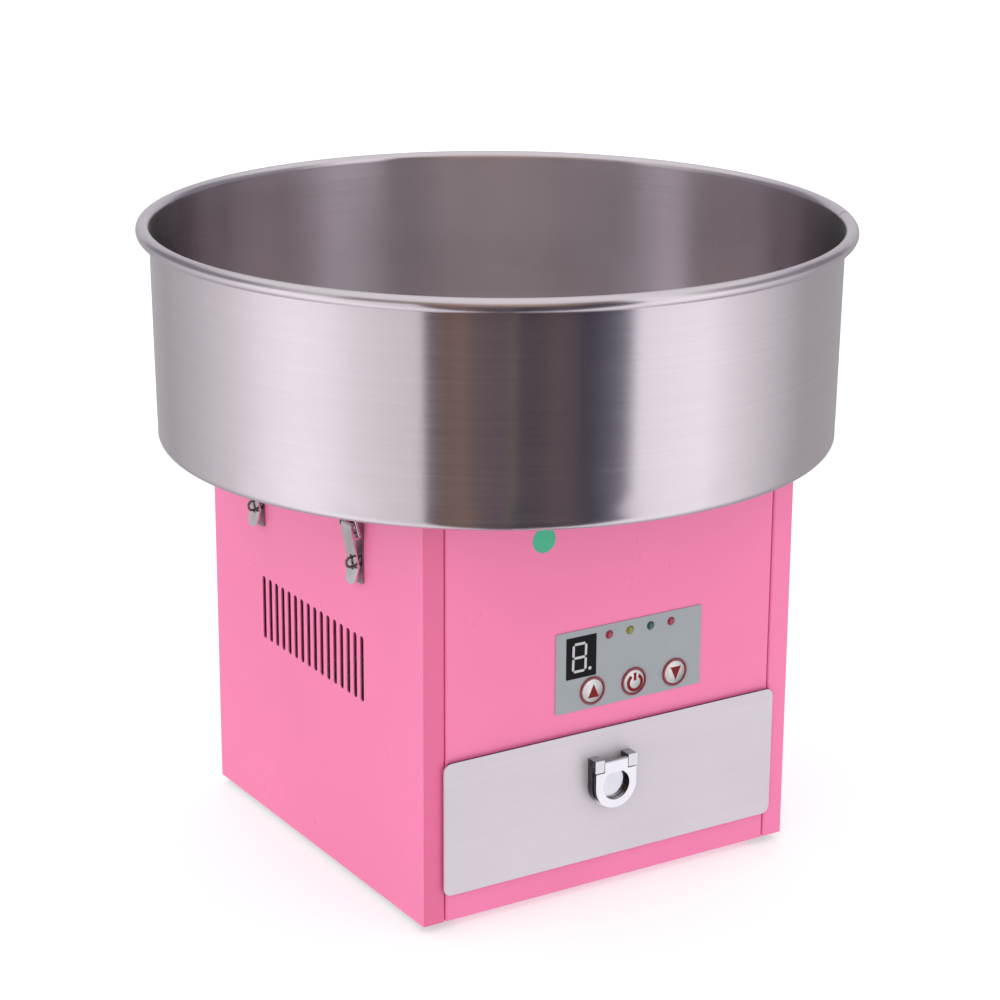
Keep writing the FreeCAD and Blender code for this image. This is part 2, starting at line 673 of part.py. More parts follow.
def drawer_box():
    """An open tray whose side lips ride on the runners."""
    body = new_body("drawer_box")
    lip_y = 0 - half_depth + s.sheet + 1.5
    outline = rectangle(0 - s.drawer_half, s.drawer_half, drawer_back_of_front, s.drawer_back_y, 1.5)
    pad(body, XY, s.drawer_low, [outline], s.drawer_high - s.drawer_low)
    pad(body, XY, s.drawer_high - s.drawer_sheet,
        [rectangle(0 - s.drawer_half - s.drawer_lip, s.drawer_half + s.drawer_lip, lip_y, s.drawer_back_y)],
        s.drawer_sheet)
    pocket(body, XY, s.drawer_low + s.drawer_sheet,
           [rectangle(s.drawer_sheet - s.drawer_half, s.drawer_half - s.drawer_sheet,
                      drawer_back_of_front + s.drawer_sheet, s.drawer_back_y - s.drawer_sheet, 1)],
           s.drawer_high - s.drawer_low)


def drawer_runners():
    """Two shelves under the drawer's lips, folded up against the side panels."""
    runners = []
    shelf_top = s.drawer_high - s.drawer_sheet - s.runner_gap
    shelf_low = shelf_top - s.runner_sheet
    for side in (-1, 1):
        body = doc.addObject("PartDesign::Body", "runner")
        inner, outer = side * (s.drawer_half + 1), side * (half_width - s.sheet)
        section = [Corner(inner, shelf_low), Corner(outer, shelf_low, 1.4),
                   Corner(outer, shelf_top + s.runner_height),
                   Corner(outer - side * s.runner_sheet, shelf_top + s.runner_height),
                   Corner(outer - side * s.runner_sheet, shelf_top, 0.4), Corner(inner, shelf_top)]
        pad(body, XZ, 0 - s.runner_half_length, [section], 2 * s.runner_half_length)
        runners.append(body)
    group("drawer_runners", runners)


drawer_front()
drawer_box()
drawer_runners()

# The handle's pieces are drawn facing the front, seen from outside: their own
# z axis points out of the drawer's face.
handle_pin_out = s.handle_base_thick + s.handle_ring_gap + s.handle_ring_thick / 2
handle_out = s.handle_base_thick + s.handle_ring_gap + s.handle_ring_thick


def handle_base():
    """A D-shaped plate with two knuckles that hold the ring's pin."""
    body = new_body("handle_base")
    r = s.handle_base_radius
    top = s.knuckle_low_z + s.knuckle_overlap - s.handle_ring_z
    pad(body, XY, 0, [[Corner(0 - r, 0 - r, r * 0.995), Corner(r, 0 - r, r * 0.995), Corner(r, top),
                       Corner(0 - r, top)]], s.handle_base_thick)
    for side in (-1, 1):
        inner, outer = side * s.knuckle_inner, side * r
        x_low, x_high = (inner, outer) if side > 0 else (outer, inner)
        low, high = s.knuckle_low_z - s.handle_ring_z, s.knuckle_high_z - s.handle_ring_z
        pad(body, XY, 0, [rectangle(x_low, x_high, low, high, 0.6)], handle_out)
    pin_hole = Circle(s.handle_pin_z - s.handle_ring_z, handle_pin_out, s.handle_pin_radius)
    pocket(body, YZ, 0 - r - 1, [pin_hole], 2 * r + 2)
    return place(body, s.handle_x, drawer_face_y, s.handle_ring_z, FACING_FRONT)


def handle_ring():
    """The pull: a D-shaped ring plate whose rounded tongue turns on the pin."""
    body = new_body("handle_ring")
    r = s.handle_ring_radius
    back = s.handle_base_thick + s.handle_ring_gap
    shoulder = s.handle_shoulder_z - s.handle_ring_z
    pin_height = s.handle_pin_z - s.handle_ring_z
    outline = [Corner(0 - r, 0 - r, r * 0.995), Corner(r, 0 - r, r * 0.995), Corner(r, shoulder, 0.8),
               Corner(0 - r, shoulder, 0.8)]
    pad(body, XY, back, [outline, Circle(0, 0, s.handle_hole_radius)], s.handle_ring_thick)
    tongue_low, front = shoulder - 1, back + s.handle_ring_thick
    tongue_top, nose = pin_height + s.handle_ring_thick / 2, s.handle_ring_thick * 0.49
    section = [Corner(tongue_low, back), Corner(tongue_top, back, nose), Corner(tongue_top, front, nose),
               Corner(tongue_low, front)]
    pad(body, YZ, 0 - s.handle_tongue_half, [section], 2 * s.handle_tongue_half)
    pocket(body, YZ, 0 - s.handle_tongue_half - 1,
           [Circle(pin_height, handle_pin_out, s.handle_pin_radius + s.running_gap)],
           2 * s.handle_tongue_half + 2)
    return place(body, s.handle_x, drawer_face_y, s.handle_ring_z, FACING_FRONT)


def handle_pin():
    length = 2 * s.handle_base_radius - 1
    along_x = FreeCAD.Rotation(FreeCAD.Vector(0, 1, 0), 90)
    pin = cylinder("handle_pin", s.handle_pin_radius, length, s.handle_x - length / 2,
                   drawer_face_y - handle_pin_out, s.handle_pin_z, along_x)
    subpart(pin, "handle_pin")


handle_base()
handle_ring()
handle_pin()

# ---------------------------------------------------------------------- bowl
floor_under_z = s.bowl_low_z + s.bowl_sheet


def bowl_wall():
    """Rolled wall: a turned-in foot flange, a slightly tapered wall and a curled rim."""
    body = new_body("bowl_wall")
    t, c = s.bowl_sheet, s.curl_radius
    inside = s.bowl_top_radius - t
    rim, curl_out = s.bowl_rim_z, s.bowl_top_radius - t + 2 * c
    curl_low = rim - 2 * c
    curl_mid = inside + c
    outer_bend, inner_bend = c * 0.995, (c - t) * 0.995
    revolve(body, [[
        Corner(s.bowl_flange_radius, s.bowl_low_z), Corner(s.bowl_low_radius, s.bowl_low_z, s.bowl_corner),
        Corner(s.bowl_top_radius, rim - t, inner_bend), Corner(curl_out - t, rim - t, inner_bend),
        Corner(curl_out - t, curl_low + t, inner_bend), Corner(curl_mid, curl_low + t),
        Corner(curl_mid, curl_low), Corner(curl_out, curl_low, outer_bend),
        Corner(curl_out, rim, outer_bend), Corner(inside, rim, outer_bend),
        Corner(s.bowl_low_radius - t, s.bowl_low_z + t, s.bowl_corner - t),
        Corner(s.bowl_flange_radius, s.bowl_low_z + t),
    ]])


def bowl_floor():
    """The floor disc with the upstanding collar round the spinner head."""
    body = new_body("bowl_floor")
    t = s.bowl_sheet
    top = floor_under_z + t + s.collar_height
    revolve(body, [[
        Corner(s.collar_radius - t, floor_under_z, 3), Corner(s.bowl_floor_radius, floor_under_z),
        Corner(s.bowl_floor_radius, floor_under_z + t), Corner(s.collar_radius, floor_under_z + t, 3 - t),
        Corner(s.collar_radius, top, t * 0.45), Corner(s.collar_radius - t, top, t * 0.45),
    ]])


LATCHES = [("left_front", -1, s.latch_front_y), ("left_rear", -1, s.latch_rear_y),
           ("right_front", 1, s.latch_front_y), ("right_rear", 1, s.latch_rear_y)]


def at_latch(item, side, y):
    """Places a piece drawn with x outwards from the side panel's face."""
    rotation = FACING_LEFT if side < 0 else FreeCAD.Rotation()
    return place(item, side * half_width, y, 0, rotation)


def bowl_keepers():
    """A J-shaped hook for each latch under the bowl's floor."""
    keepers = []
    low, root, tip, t = s.keeper_low, s.keeper_root, s.keeper_tip, s.keeper_sheet
    tab_end = root - s.keeper_tab
    for _, side, y in LATCHES:
        body = doc.addObject("PartDesign::Body", "keeper")
        section = [Corner(tab_end, floor_under_z - t), Corner(root, floor_under_z - t, 0.6),
                   Corner(root, low, 1.6), Corner(tip, low, 1.6), Corner(tip, s.keeper_lip),
                   Corner(tip - t, s.keeper_lip), Corner(tip - t, low + t, 0.5),
                   Corner(root + t, low + t, 0.5), Corner(root + t, floor_under_z, 1.6),
                   Corner(tab_end, floor_under_z)]
        pad(body, XZ, 0 - s.keeper_half, [section], 2 * s.keeper_half)
        keepers.append(at_latch(body, side, y))
    group("bowl_keepers", keepers)


def bowl_seat_gasket():
    body = new_body("bowl_seat_gasket")
    revolve(body, [rectangle(s.gasket_inner, s.gasket_outer, deck_z, floor_under_z - s.seat_gap, 1)])


bowl_wall()
bowl_floor()
bowl_keepers()
bowl_seat_gasket()

# ------------------------------------------------------------------- latches


def latch_bases():
    """Each base plate is folded into two ears that hold the lever's pin."""
    bases = []
    for _, side, y in LATCHES:
        body = doc.addObject("PartDesign::Body", "latch_base")
        outline = rectangle(0 - s.latch_half, s.latch_half, s.latch_plate_low, s.latch_plate_high, 2)
        pad(body, YZ, 0, [outline], s.latch_sheet)
        boss = s.ear_boss
        ear = [Corner(0.4, s.latch_pin_z - 9.5), Corner(s.latch_sheet + 1, s.latch_pin_z - 9.5),
               Corner(s.latch_sheet + 1, s.latch_pin_z - 4.5, 1),
               Corner(s.latch_pin_out + boss, s.latch_pin_z - boss, boss * 0.9),
               Corner(s.latch_pin_out + boss, s.latch_pin_z + boss, boss * 0.9),
               Corner(0.4, s.latch_pin_z + 8)]
        for start in (0 - s.latch_half, s.latch_half - s.latch_sheet):
            pad(body, XZ, start, [ear], s.latch_sheet)
        pocket(body, XZ, 0 - s.latch_half - 1, [Circle(s.latch_pin_out, s.latch_pin_z, s.latch_pin_radius)],
               2 * s.latch_half + 2)
        bases.append(at_latch(body, side, y))
    group("latch_bases", bases)


def latch_pins():
    pins = []
    for _, side, y in LATCHES:
        x = side * (half_width + s.latch_pin_out)
        pins.append(cylinder("latch_pin", s.latch_pin_radius, 2 * s.latch_half, x, y - s.latch_half,
                             s.latch_pin_z, FACING_BACK))
    group("latch_pins", pins)


def latch_staples():
    """The padlock eye on each base, standing through the lever's slot."""
    staples = []
    for _, side, y in LATCHES:
        eye = doc.addObject("Part::Torus", "staple_eye")
        bind(eye, "Radius1", s.staple_ring)
        bind(eye, "Radius2", s.staple_wire)
        place(eye, side * (half_width + s.staple_out), y, s.staple_z, FACING_FRONT)
        foot_in, foot_out = half_width + s.latch_sheet, half_width + s.staple_out - s.staple_ring
        x_low, x_high = (foot_in, foot_out) if side > 0 else (0 - foot_out, 0 - foot_in)
        foot = box("staple_foot", x_low, x_high, y - s.staple_wire, y + s.staple_wire,
                   s.staple_z - 1.6, s.staple_z + 1.6)
        staples.append(fuse("staple", [eye, foot]))
    group("latch_staples", staples)


def latch_lever(name, side, y):
    """A bent plate curled round the pin, with a padlock slot and lugs for the bail."""
    body = new_body(f"latch_lever_{name}")
    t, curl, z_pin, out = s.latch_sheet, s.curl_outer, s.latch_pin_z, s.latch_pin_out
    elbow_z, elbow_out, tip_z, tip_out = s.lever_elbow_z, s.lever_elbow_out, s.lever_tip_z, s.lever_tip_out
    section = [
        Corner(out + curl - t, z_pin - 2.4), Corner(elbow_out, elbow_z, 1.5), Corner(tip_out, tip_z),
        Corner(tip_out + t, tip_z + 0.3), Corner(elbow_out + t, elbow_z, 1.0),
        Corner(out + curl, z_pin - 2.4, 4), Corner(out + curl, z_pin + curl, curl * 0.97),
        Corner(out - curl, z_pin + curl, curl * 0.97), Corner(out - curl, z_pin - curl, curl * 0.97),
        Corner(out + curl - t, z_pin - curl),
    ]
    plate = pad(body, XZ, 0 - s.lever_half, [section], 2 * s.lever_half)
    edge_y = s.lever_half.value
    fillet_edges(body, plate, 6.6, lambda edge: edge.BoundBox.ZMax < tip_z.value + 1
                 and edge.BoundBox.YLength < 0.01 and abs(abs(edge.BoundBox.YMin) - edge_y) < 0.01)
    lug_low, lug_high = s.bail_z - 2.2, s.bail_z + 2.6
    lug_in, lug_out = s.bail_out - 2.2, out + curl - 1.5
    lug = [Corner(lug_out - 1.0, lug_low), Corner(lug_out, lug_high), Corner(lug_in, lug_high, 1.6),
           Corner(lug_in, lug_low, 1.8)]
    for start in (0 - s.lever_half, s.lever_half - t):
        pad(body, XZ, start, [lug], t)
    pocket(body, XZ, 0 - s.lever_half - 1, [Circle(s.bail_out, s.bail_z, s.bail_wire + s.running_gap)],
           2 * s.lever_half + 2)
    pocket(body, XZ, 0 - s.lever_half - 1, [Circle(out, z_pin, s.latch_pin_radius + s.running_gap)],
           2 * s.lever_half + 2)
    slot = rectangle(-2.2, 2.2, s.staple_z - 5.6, s.staple_z + 5.8, 1.5)
    pocket(body, YZ, 0, [slot], out + 2)
    return at_latch(body, side, y)


def latch_bail(name, side, y):
    """A bent wire: two hooked ends in the lever's lugs, two legs and a crossbar."""
    body = new_body(f"latch_bail_{name}")
    out_step = s.bail_bar_out - s.bail_out
    z_step = s.bail_bar_z - s.bail_z
    leg = math.hypot(out_step.value, z_step.value)
    lean = math.degrees(math.atan2(out_step.value, z_step.value))
    hook, bend = s.lever_half - s.latch_sheet, 1.6
    line = [Corner(0 - hook, 0), Corner(0 - s.bail_half, 0, bend), Corner(0 - s.bail_half, leg, bend + 1),
            Corner(s.bail_half, leg, bend + 1), Corner(s.bail_half, 0, bend), Corner(hook, 0)]
    path = new_sketch(body, YZ, 0, [line], closed=False)
    wire = new_sketch(body, XZ, hook, [Circle(0, 0, s.bail_wire)])
    pipe = body.newObject("PartDesign::AdditivePipe", f"{body.Name}_wire")
    pipe.Profile = wire
    pipe.Spine = (path, [])
    tilt = FreeCAD.Rotation(FreeCAD.Vector(0, 1, 0), lean)
    rotation = FACING_LEFT.multiply(tilt) if side < 0 else tilt
    return place(body, side * (half_width + s.bail_out), y, s.bail_z, rotation)


latch_bases()
latch_pins()
latch_staples()
for latch_name, latch_side, latch_y in LATCHES:
    latch_lever(latch_name, latch_side, latch_y)
    latch_bail(latch_name, latch_side, latch_y)

# --------------------------------------------------------------------- drive


def turned(label, corners):
    """A turned piece about the spinner's axis."""
    body = new_body(label)
    revolve(body, [corners])
    return body


def motor():
    seat_wall = 4
    seat = s.bearing_radius + s.bearing_gap
    top_in = s.motor_high_z - s.motor_shell
    low_in = s.motor_low_z + s.motor_shell
    turned("motor_housing", [
        Corner(s.motor_radius - s.motor_shell, low_in), Corner(s.motor_radius, low_in),
        Corner(s.motor_radius, s.motor_high_z, 5), Corner(s.shaft_radius + 4, s.motor_high_z),
        Corner(s.shaft_radius + 4, top_in), Corner(seat, top_in), Corner(seat, top_in - s.bearing_height),
        Corner(seat + seat_wall, top_in - s.bearing_height), Corner(seat + seat_wall, top_in),
        Corner(s.motor_radius - s.motor_shell, top_in, 3)])
    turned("motor_end_cap", [
        Corner(s.shaft_radius + 4, s.motor_low_z), Corner(s.motor_radius, s.motor_low_z, 2),
        Corner(s.motor_radius, low_in), Corner(seat + seat_wall, low_in),
        Corner(seat + seat_wall, low_in + s.bearing_height), Corner(seat, low_in + s.bearing_height),
        Corner(seat, low_in), Corner(s.shaft_radius + 4, low_in)])
    bearings = [ring("bearing", s.bearing_radius, s.shaft_radius + s.bearing_gap, s.bearing_height, 0, 0, z)
                for z in (low_in, top_in - s.bearing_height)]
    group("motor_bearings", bearings)
    turned("motor_stator", rectangle(s.stator_inner, s.motor_radius - s.motor_shell,
                                     s.core_low_z, s.core_high_z, 3))
    turned("motor_rotor", rectangle(s.shaft_radius, s.rotor_radius, s.core_low_z, s.core_high_z, 2))
    turned("drive_shaft", [
        Corner(0, s.shaft_low_z), Corner(s.shaft_radius, s.shaft_low_z, 1),
        Corner(s.shaft_radius, s.shaft_top_z, 1), Corner(0, s.shaft_top_z)])


def motor_fan():
    """A hub with eight radial blades that draw air up past the motor."""
    body = new_body("motor_fan")
    hub = s.shaft_radius + 6
    pad(body, XY, s.fan_low_z, [Circle(0, 0, hub), Circle(0, 0, s.shaft_radius)], s.fan_height)
    blade = pad(body, XY, s.fan_low_z, [rectangle(hub - 1, s.fan_radius, -1, 1)], s.fan_height - 4)
    repeat_around(body, blade, 8)


def motor_mount():
    body = new_body("motor_plate")
    half, spread = s.motor_plate_half, s.isolator_spread
    pad(body, XY, s.motor_high_z, [rectangle(0 - half, half, 0 - half, half, 8),
                                   Circle(0, 0, s.deck_hole_radius)], s.motor_plate_thick)
    low = s.motor_high_z + s.motor_plate_thick
    group("motor_isolators", [
        cylinder("isolator", s.isolator_radius, s.panel_top_z - low, x * spread, y * spread, low)
        for x in (-1, 1) for y in (-1, 1)])


def slip_ring_heights():
    return [s.slip_ring_z, s.slip_ring_z + s.slip_ring_pitch]


def current_feed():
    """Slip rings on an insulating sleeve, and the carbon brushes that feed them."""
    turned("slip_ring_sleeve", rectangle(s.shaft_radius, s.sleeve_radius, s.sleeve_low_z, s.sleeve_high_z))
    group("slip_rings", [ring("slip_ring", s.slip_ring_radius, s.sleeve_radius, s.slip_ring_height, 0, 0, z)
                         for z in slip_ring_heights()])
    half = s.brush_side / 2
    middle = s.slip_ring_height / 2
    near, far = s.slip_ring_radius + s.brush_gap, s.slip_ring_radius + s.brush_length
    group("carbon_brushes", [box("brush", near, far, 0 - half, half, z + middle - half, z + middle + half)
                             for z in slip_ring_heights()])
    block = box("brush_block", near + 5, far + 12, -9, 9, s.motor_high_z + s.motor_plate_thick,
                s.sleeve_high_z - 1)
    channels = [box("brush_channel", near + 4, far + 13, 0 - half - 0.1, half + 0.1,
                    z + middle - half - 0.1, z + middle + half + 0.1) for z in slip_ring_heights()]
    subpart(cut("brush_holder", block, fuse("brush_channels", channels)), "brush_holder")


def spinner_head():
    """A cast dish, a heating ring, a slotted band and a cover ring."""
    low, seat = s.head_low_z, s.band_low_z
    floor, boss = low + s.dish_floor, low + s.dish_boss
    turned("spinner_dish", [
        Corner(s.shaft_radius, low), Corner(s.head_radius - 3, low, 4), Corner(s.head_radius, seat, 1),
        Corner(s.element_radius - 5, seat, 1), Corner(s.element_radius - 9, floor, 3),
        Corner(s.dish_hub + 3, floor, 2), Corner(s.dish_hub, boss, 1), Corner(s.shaft_radius, boss)])
    turned("heating_element", rectangle(s.element_radius - 1.2, s.element_radius,
                                        seat, seat + s.element_height, 0.3))
    top = seat + s.band_height
    band = new_body("spinner_band")
    revolve(band, [rectangle(s.band_radius - s.band_sheet, s.band_radius, seat, top)])
    slot = rectangle(0 - s.band_slot / 2, s.band_slot / 2, seat + 4, top - 4)
    slots = pocket(band, YZ, s.band_radius - 3, [slot], 5)
    repeat_around(band, slots, s.band_slots)
    turned("spinner_cover", [
        Corner(s.well_radius, top - 10), Corner(s.well_radius + 1.5, top - 10),
        Corner(s.well_radius + 1.5, top, 1), Corner(s.head_radius, top), Corner(s.head_radius, top + 2, 1),
        Corner(s.well_radius, top + 3, 2)])


def spinner_nut():
    """A washer and a hexagon nut that hold the dish to the shaft."""
    body = new_body("spinner_nut")
    low = s.head_low_z + s.dish_boss
    pad(body, XY, low, [Circle(0, 0, s.nut_washer), Circle(0, 0, s.shaft_radius)], 3)
    reach = s.nut_across / math.cos(math.pi / 6)
    hexagon = [Corner(reach * math.cos(k * math.pi / 3), reach * math.sin(k * math.pi / 3)) for k in range(6)]
    pad(body, XY, low + 2, [hexagon, Circle(0, 0, s.shaft_radius)], s.nut_height - 2)


def heat_shield():
    """A round sheet cap between the deck and the spinning head."""
    outer, inner, top = s.shield_radius, s.deck_hole_radius + 2, deck_z + s.shield_height
    turned("heat_shield", [
        Corner(outer - 1, deck_z), Corner(outer, deck_z), Corner(outer, top, 3),
        Corner(inner, top), Corner(inner, top - 1), Corner(outer - 1, top - 1, 2)])


motor()
motor_fan()
motor_mount()
current_feed()
spinner_head()
spinner_nut()
heat_shield()

# -------------------------------------------------------------------- output
doc.recompute()


def faults():
    """Names every object that failed, is empty or cut nothing."""
    found = []
    for item in doc.Objects:
        if "Invalid" in item.State or "Error" in item.State:
            found.append(f"{item.Label}: {item.State}")
        if item.isDerivedFrom("PartDesign::Pocket") and not item.Shape.isNull():
            if item.Shape.Volume >= item.BaseFeature.Shape.Volume - 1e-6:
                found.append(f"{item.Label} cuts nothing")
    for item in subparts:
        if item.Shape.isNull() or not item.Shape.isValid() or not item.Shape.Solids:
            found.append(f"{item.Label}: no valid solid")
    return found


problems = faults()
if problems:
    raise RuntimeError("; ".join(problems))
os.makedirs("parts", exist_ok=True)
for item in subparts:
    item.Shape.exportStep(f"parts/{item.Label}.step")
print(len(subparts), "sub-parts written")
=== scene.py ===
import json
import math

import bmesh
import bpy
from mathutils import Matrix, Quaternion, Vector


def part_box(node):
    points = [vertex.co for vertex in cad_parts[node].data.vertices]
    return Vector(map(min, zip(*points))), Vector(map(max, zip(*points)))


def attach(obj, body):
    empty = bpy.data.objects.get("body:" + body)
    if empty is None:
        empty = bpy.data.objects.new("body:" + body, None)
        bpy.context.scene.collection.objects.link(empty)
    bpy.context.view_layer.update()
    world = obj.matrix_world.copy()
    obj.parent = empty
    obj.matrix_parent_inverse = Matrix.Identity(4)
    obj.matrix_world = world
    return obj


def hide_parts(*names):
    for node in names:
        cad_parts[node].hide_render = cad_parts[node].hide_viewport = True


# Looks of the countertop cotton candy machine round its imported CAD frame:
# a smooth brushed bowl, painted sheet, printed panel, and plated fittings.

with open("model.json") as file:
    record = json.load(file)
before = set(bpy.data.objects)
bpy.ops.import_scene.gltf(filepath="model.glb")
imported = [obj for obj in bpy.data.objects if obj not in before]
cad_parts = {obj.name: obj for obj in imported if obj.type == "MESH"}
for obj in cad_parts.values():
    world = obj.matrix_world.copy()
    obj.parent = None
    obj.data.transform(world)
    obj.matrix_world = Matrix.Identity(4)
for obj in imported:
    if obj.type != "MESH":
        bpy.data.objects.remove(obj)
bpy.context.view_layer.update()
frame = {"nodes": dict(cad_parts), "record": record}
nodes = frame["nodes"]
MM = 0.001


# ------------------------------------------------------------------ materials
class Nodes:
    """A node tree under construction."""

    def __init__(self, tree):
        self.tree = tree

    def add(self, kind, **settings):
        node = self.tree.nodes.new(kind)
        for name, value in settings.items():
            setattr(node, name, value)
        return node

    def join(self, source, target):
        self.tree.links.new(source, target)

    def feed(self, socket, value):
        """Gives a socket a number, a colour or another node's output."""
        if isinstance(value, (int, float)):
            socket.default_value = value
        elif isinstance(value, tuple):
            socket.default_value = (*value, 1.0)
        else:
            self.join(value, socket)

    def math(self, operation, *values):
        node = self.add("ShaderNodeMath", operation=operation)
        for socket, value in zip(node.inputs, values):
            self.feed(socket, value)
        return node.outputs["Value"]

    def mix(self, factor, first, second):
        """A colour between two colours, each a tuple or a socket."""
        node = self.add("ShaderNodeMix", data_type="RGBA")
        self.join(factor, node.inputs["Factor"])
        self.feed(node.inputs[6], first)
        self.feed(node.inputs[7], second)
        return node.outputs[2]

    def spread(self, source, low, high, from_low=0.3, from_high=0.7, **settings):
        """Maps one range of a value onto another."""
        node = self.add("ShaderNodeMapRange", **settings)
        node.inputs["From Min"].default_value = from_low
        node.inputs["From Max"].default_value = from_high
        node.inputs["To Min"].default_value = low
        node.inputs["To Max"].default_value = high
        self.join(source, node.inputs["Value"])
        return node.outputs["Result"]


class Shader(Nodes):
    """A material under construction: its node tree and Principled shader."""

    def __init__(self, name):
        self.material = bpy.data.materials.new(name)
        self.material.use_nodes = True
        super().__init__(self.material.node_tree)
        self.bsdf = self.tree.nodes["Principled BSDF"]
        self.position = self.add("ShaderNodeTexCoord").outputs["Object"]

    def set(self, **values):
        for name, value in values.items():
            self.bsdf.inputs[name.replace("_", " ")].default_value = value

    def stretched(self, scale, vector=None):
        """Coordinates scaled differently along each axis."""
        mapping = self.add("ShaderNodeMapping")
        mapping.inputs["Scale"].default_value = scale
        self.join(vector or self.position, mapping.inputs["Vector"])
        return mapping.outputs["Vector"]

    def noise(self, scale, detail=3.0, roughness=0.55, vector=None):
        node = self.add("ShaderNodeTexNoise")
        node.inputs["Scale"].default_value = scale
        node.inputs["Detail"].default_value = detail
        node.inputs["Roughness"].default_value = roughness
        self.join(vector or self.position, node.inputs["Vector"])
        return node.outputs["Fac"]

    def bump(self, height, strength, distance):
        node = self.add("ShaderNodeBump")
        node.inputs["Strength"].default_value = strength
        node.inputs["Distance"].default_value = distance
        self.join(height, node.inputs["Height"])
        self.join(node.outputs["Normal"], self.bsdf.inputs["Normal"])

    def smear_upward(self):
        """Lets anisotropic gloss stretch along +Z."""
        vector = self.add("ShaderNodeCombineXYZ")
        vector.inputs["Z"].default_value = 1.0
        self.join(vector.outputs["Vector"], self.bsdf.inputs["Tangent"])

    def facing(self, axis):
        """The share along an axis of the surface normal in the piece's own frame."""
        node = self.add("ShaderNodeSeparateXYZ")
        self.join(self.add("ShaderNodeTexCoord").outputs["Normal"], node.inputs["Vector"])
        return node.outputs[axis]

    def edge_mask(self, radius):
        """1 along sharp edges, 0 on open faces."""
        bevel = self.add("ShaderNodeBevel", samples=4)
        bevel.inputs["Radius"].default_value = radius
        geometry = self.add("ShaderNodeNewGeometry")
        dot = self.add("ShaderNodeVectorMath", operation="DOT_PRODUCT")
        self.join(bevel.outputs["Normal"], dot.inputs[0])
        self.join(geometry.outputs["Normal"], dot.inputs[1])
        return self.spread(dot.outputs["Value"], 1.0, 0.0, 0.75, 0.995)


def srgb(red, green, blue):
    """Linear colour of an sRGB colour given as 0 to 255."""
    def linear(value):
        value /= 255
        return value / 12.92 if value <= 0.04045 else ((value + 0.055) / 1.055) ** 2.4
    return (linear(red), linear(green), linear(blue))


def shade(colour, factor):
    return tuple(min(1.0, channel * factor) for channel in colour)


def surface(name, colour, roughness, metallic=0.0, grain=900, grain_strength=0.12, tint=0.08,
            patch=14, edge_wear_and_highlight=None, edge_band_radius=0.0006, coat=0.0, specular=0.5):
    """A general finish: patchy tint, varied roughness, fine grain, and an edge colour that is real wear on
    some parts and a painted highlight on others.
    """
    m = Shader(name)
    patches = m.noise(patch, 4.0)
    base = m.mix(m.spread(patches, 0.0, 1.0), shade(colour, 1 - tint), shade(colour, 1 + tint))
    # Edge colour: real wear on the screws and motor shell, a painted highlight on the plated parts and the
    # red bezel.
    if edge_wear_and_highlight is not None:
        scuffs_and_highlight = m.spread(m.noise(220, 3.0), 0.15, 1.0, 0.4, 0.6)
        base = m.mix(m.math("MULTIPLY", m.edge_mask(edge_band_radius), scuffs_and_highlight), base, edge_wear_and_highlight)
    m.join(base, m.bsdf.inputs["Base Color"])
    m.join(m.spread(m.noise(patch * 3, 5.0), roughness * 0.85, roughness * 1.2), m.bsdf.inputs["Roughness"])
    m.bump(m.noise(grain, 2.0), grain_strength, 0.0003)
    m.set(Metallic=metallic, Coat_Weight=coat, Specular_IOR_Level=specular)
    return m.material


def brushed(name, colour, roughness, anisotropy, marks=1.0, metallic=1.0, shade_top_faces=False):
    """Brushed stainless: long fine scratches along X, gloss smeared upward, and if asked a painted shade on
    faces that point up.
    """
    m = Shader(name)
    scale = (3.0, 900.0, 900.0)
    lines = m.noise(1.0, 4.0, 0.7, m.stretched(scale))
    broad = m.noise(1.0, 3.0, 0.6, m.stretched(tuple(v * 0.12 for v in scale)))
    smudge = m.noise(9.0, 4.0)
    tone = m.mix(m.spread(lines, 0.0, 1.0, 0.25, 0.75), shade(colour, 1 - 0.10 * marks),
                 shade(colour, 1 + 0.06 * marks))
    tone = m.mix(m.spread(broad, 0.0, 0.5), tone, shade(colour, 0.93))
    # Painted shade: faces that point up turn nearly black.
    if shade_top_faces:
        tone = m.mix(m.spread(m.facing("Z"), 0.0, 1.0, 0.5, 0.9), tone, (0.055, 0.02, 0.03))
    m.join(tone, m.bsdf.inputs["Base Color"])
    wear = m.math("ADD", m.spread(lines, -0.06, 0.08), m.spread(smudge, roughness * 0.85, roughness * 1.15))
    m.join(wear, m.bsdf.inputs["Roughness"])
    m.bump(lines, 0.10 * marks, 0.0002)
    m.set(Metallic=metallic, Anisotropic=anisotropy)
    m.smear_upward()
    return m.material


def casting_with_painted_shade(name, colour, roughness):
    """A die casting polished on its front faces, with painted shade on its near-black sides and grey top
    faces, and a painted highlight along its edges.
    """
    m = Shader(name)
    front = m.spread(m.math("ABSOLUTE", m.facing("Y")), 0.0, 1.0, 0.55, 0.85)
    # Painted shade: near-black streaked sides, and grey on faces that point up.
    side_and_top_shade = m.mix(m.spread(m.noise(260, 3.0), 0.0, 1.0), (0.035, 0.035, 0.045), (0.16, 0.155, 0.17))
    side_and_top_shade = m.mix(m.spread(m.facing("Z"), 0.0, 1.0, 0.6, 0.9), side_and_top_shade, (0.42, 0.41, 0.43))
    polished = m.mix(m.spread(m.noise(60, 4.0), 0.0, 1.0), shade(colour, 0.96), shade(colour, 1.04))
    base = m.mix(front, side_and_top_shade, polished)
    # Painted highlight along the edges.
    base = m.mix(m.edge_mask(0.0005), base, shade(colour, 1.15))
    m.join(base, m.bsdf.inputs["Base Color"])
    m.join(m.spread(m.noise(180, 5.0), roughness * 0.85, roughness * 1.2), m.bsdf.inputs["Roughness"])
    m.bump(m.noise(300, 2.0), 0.02, 0.0003)
    m.set(Metallic=1.0)
    return m.material


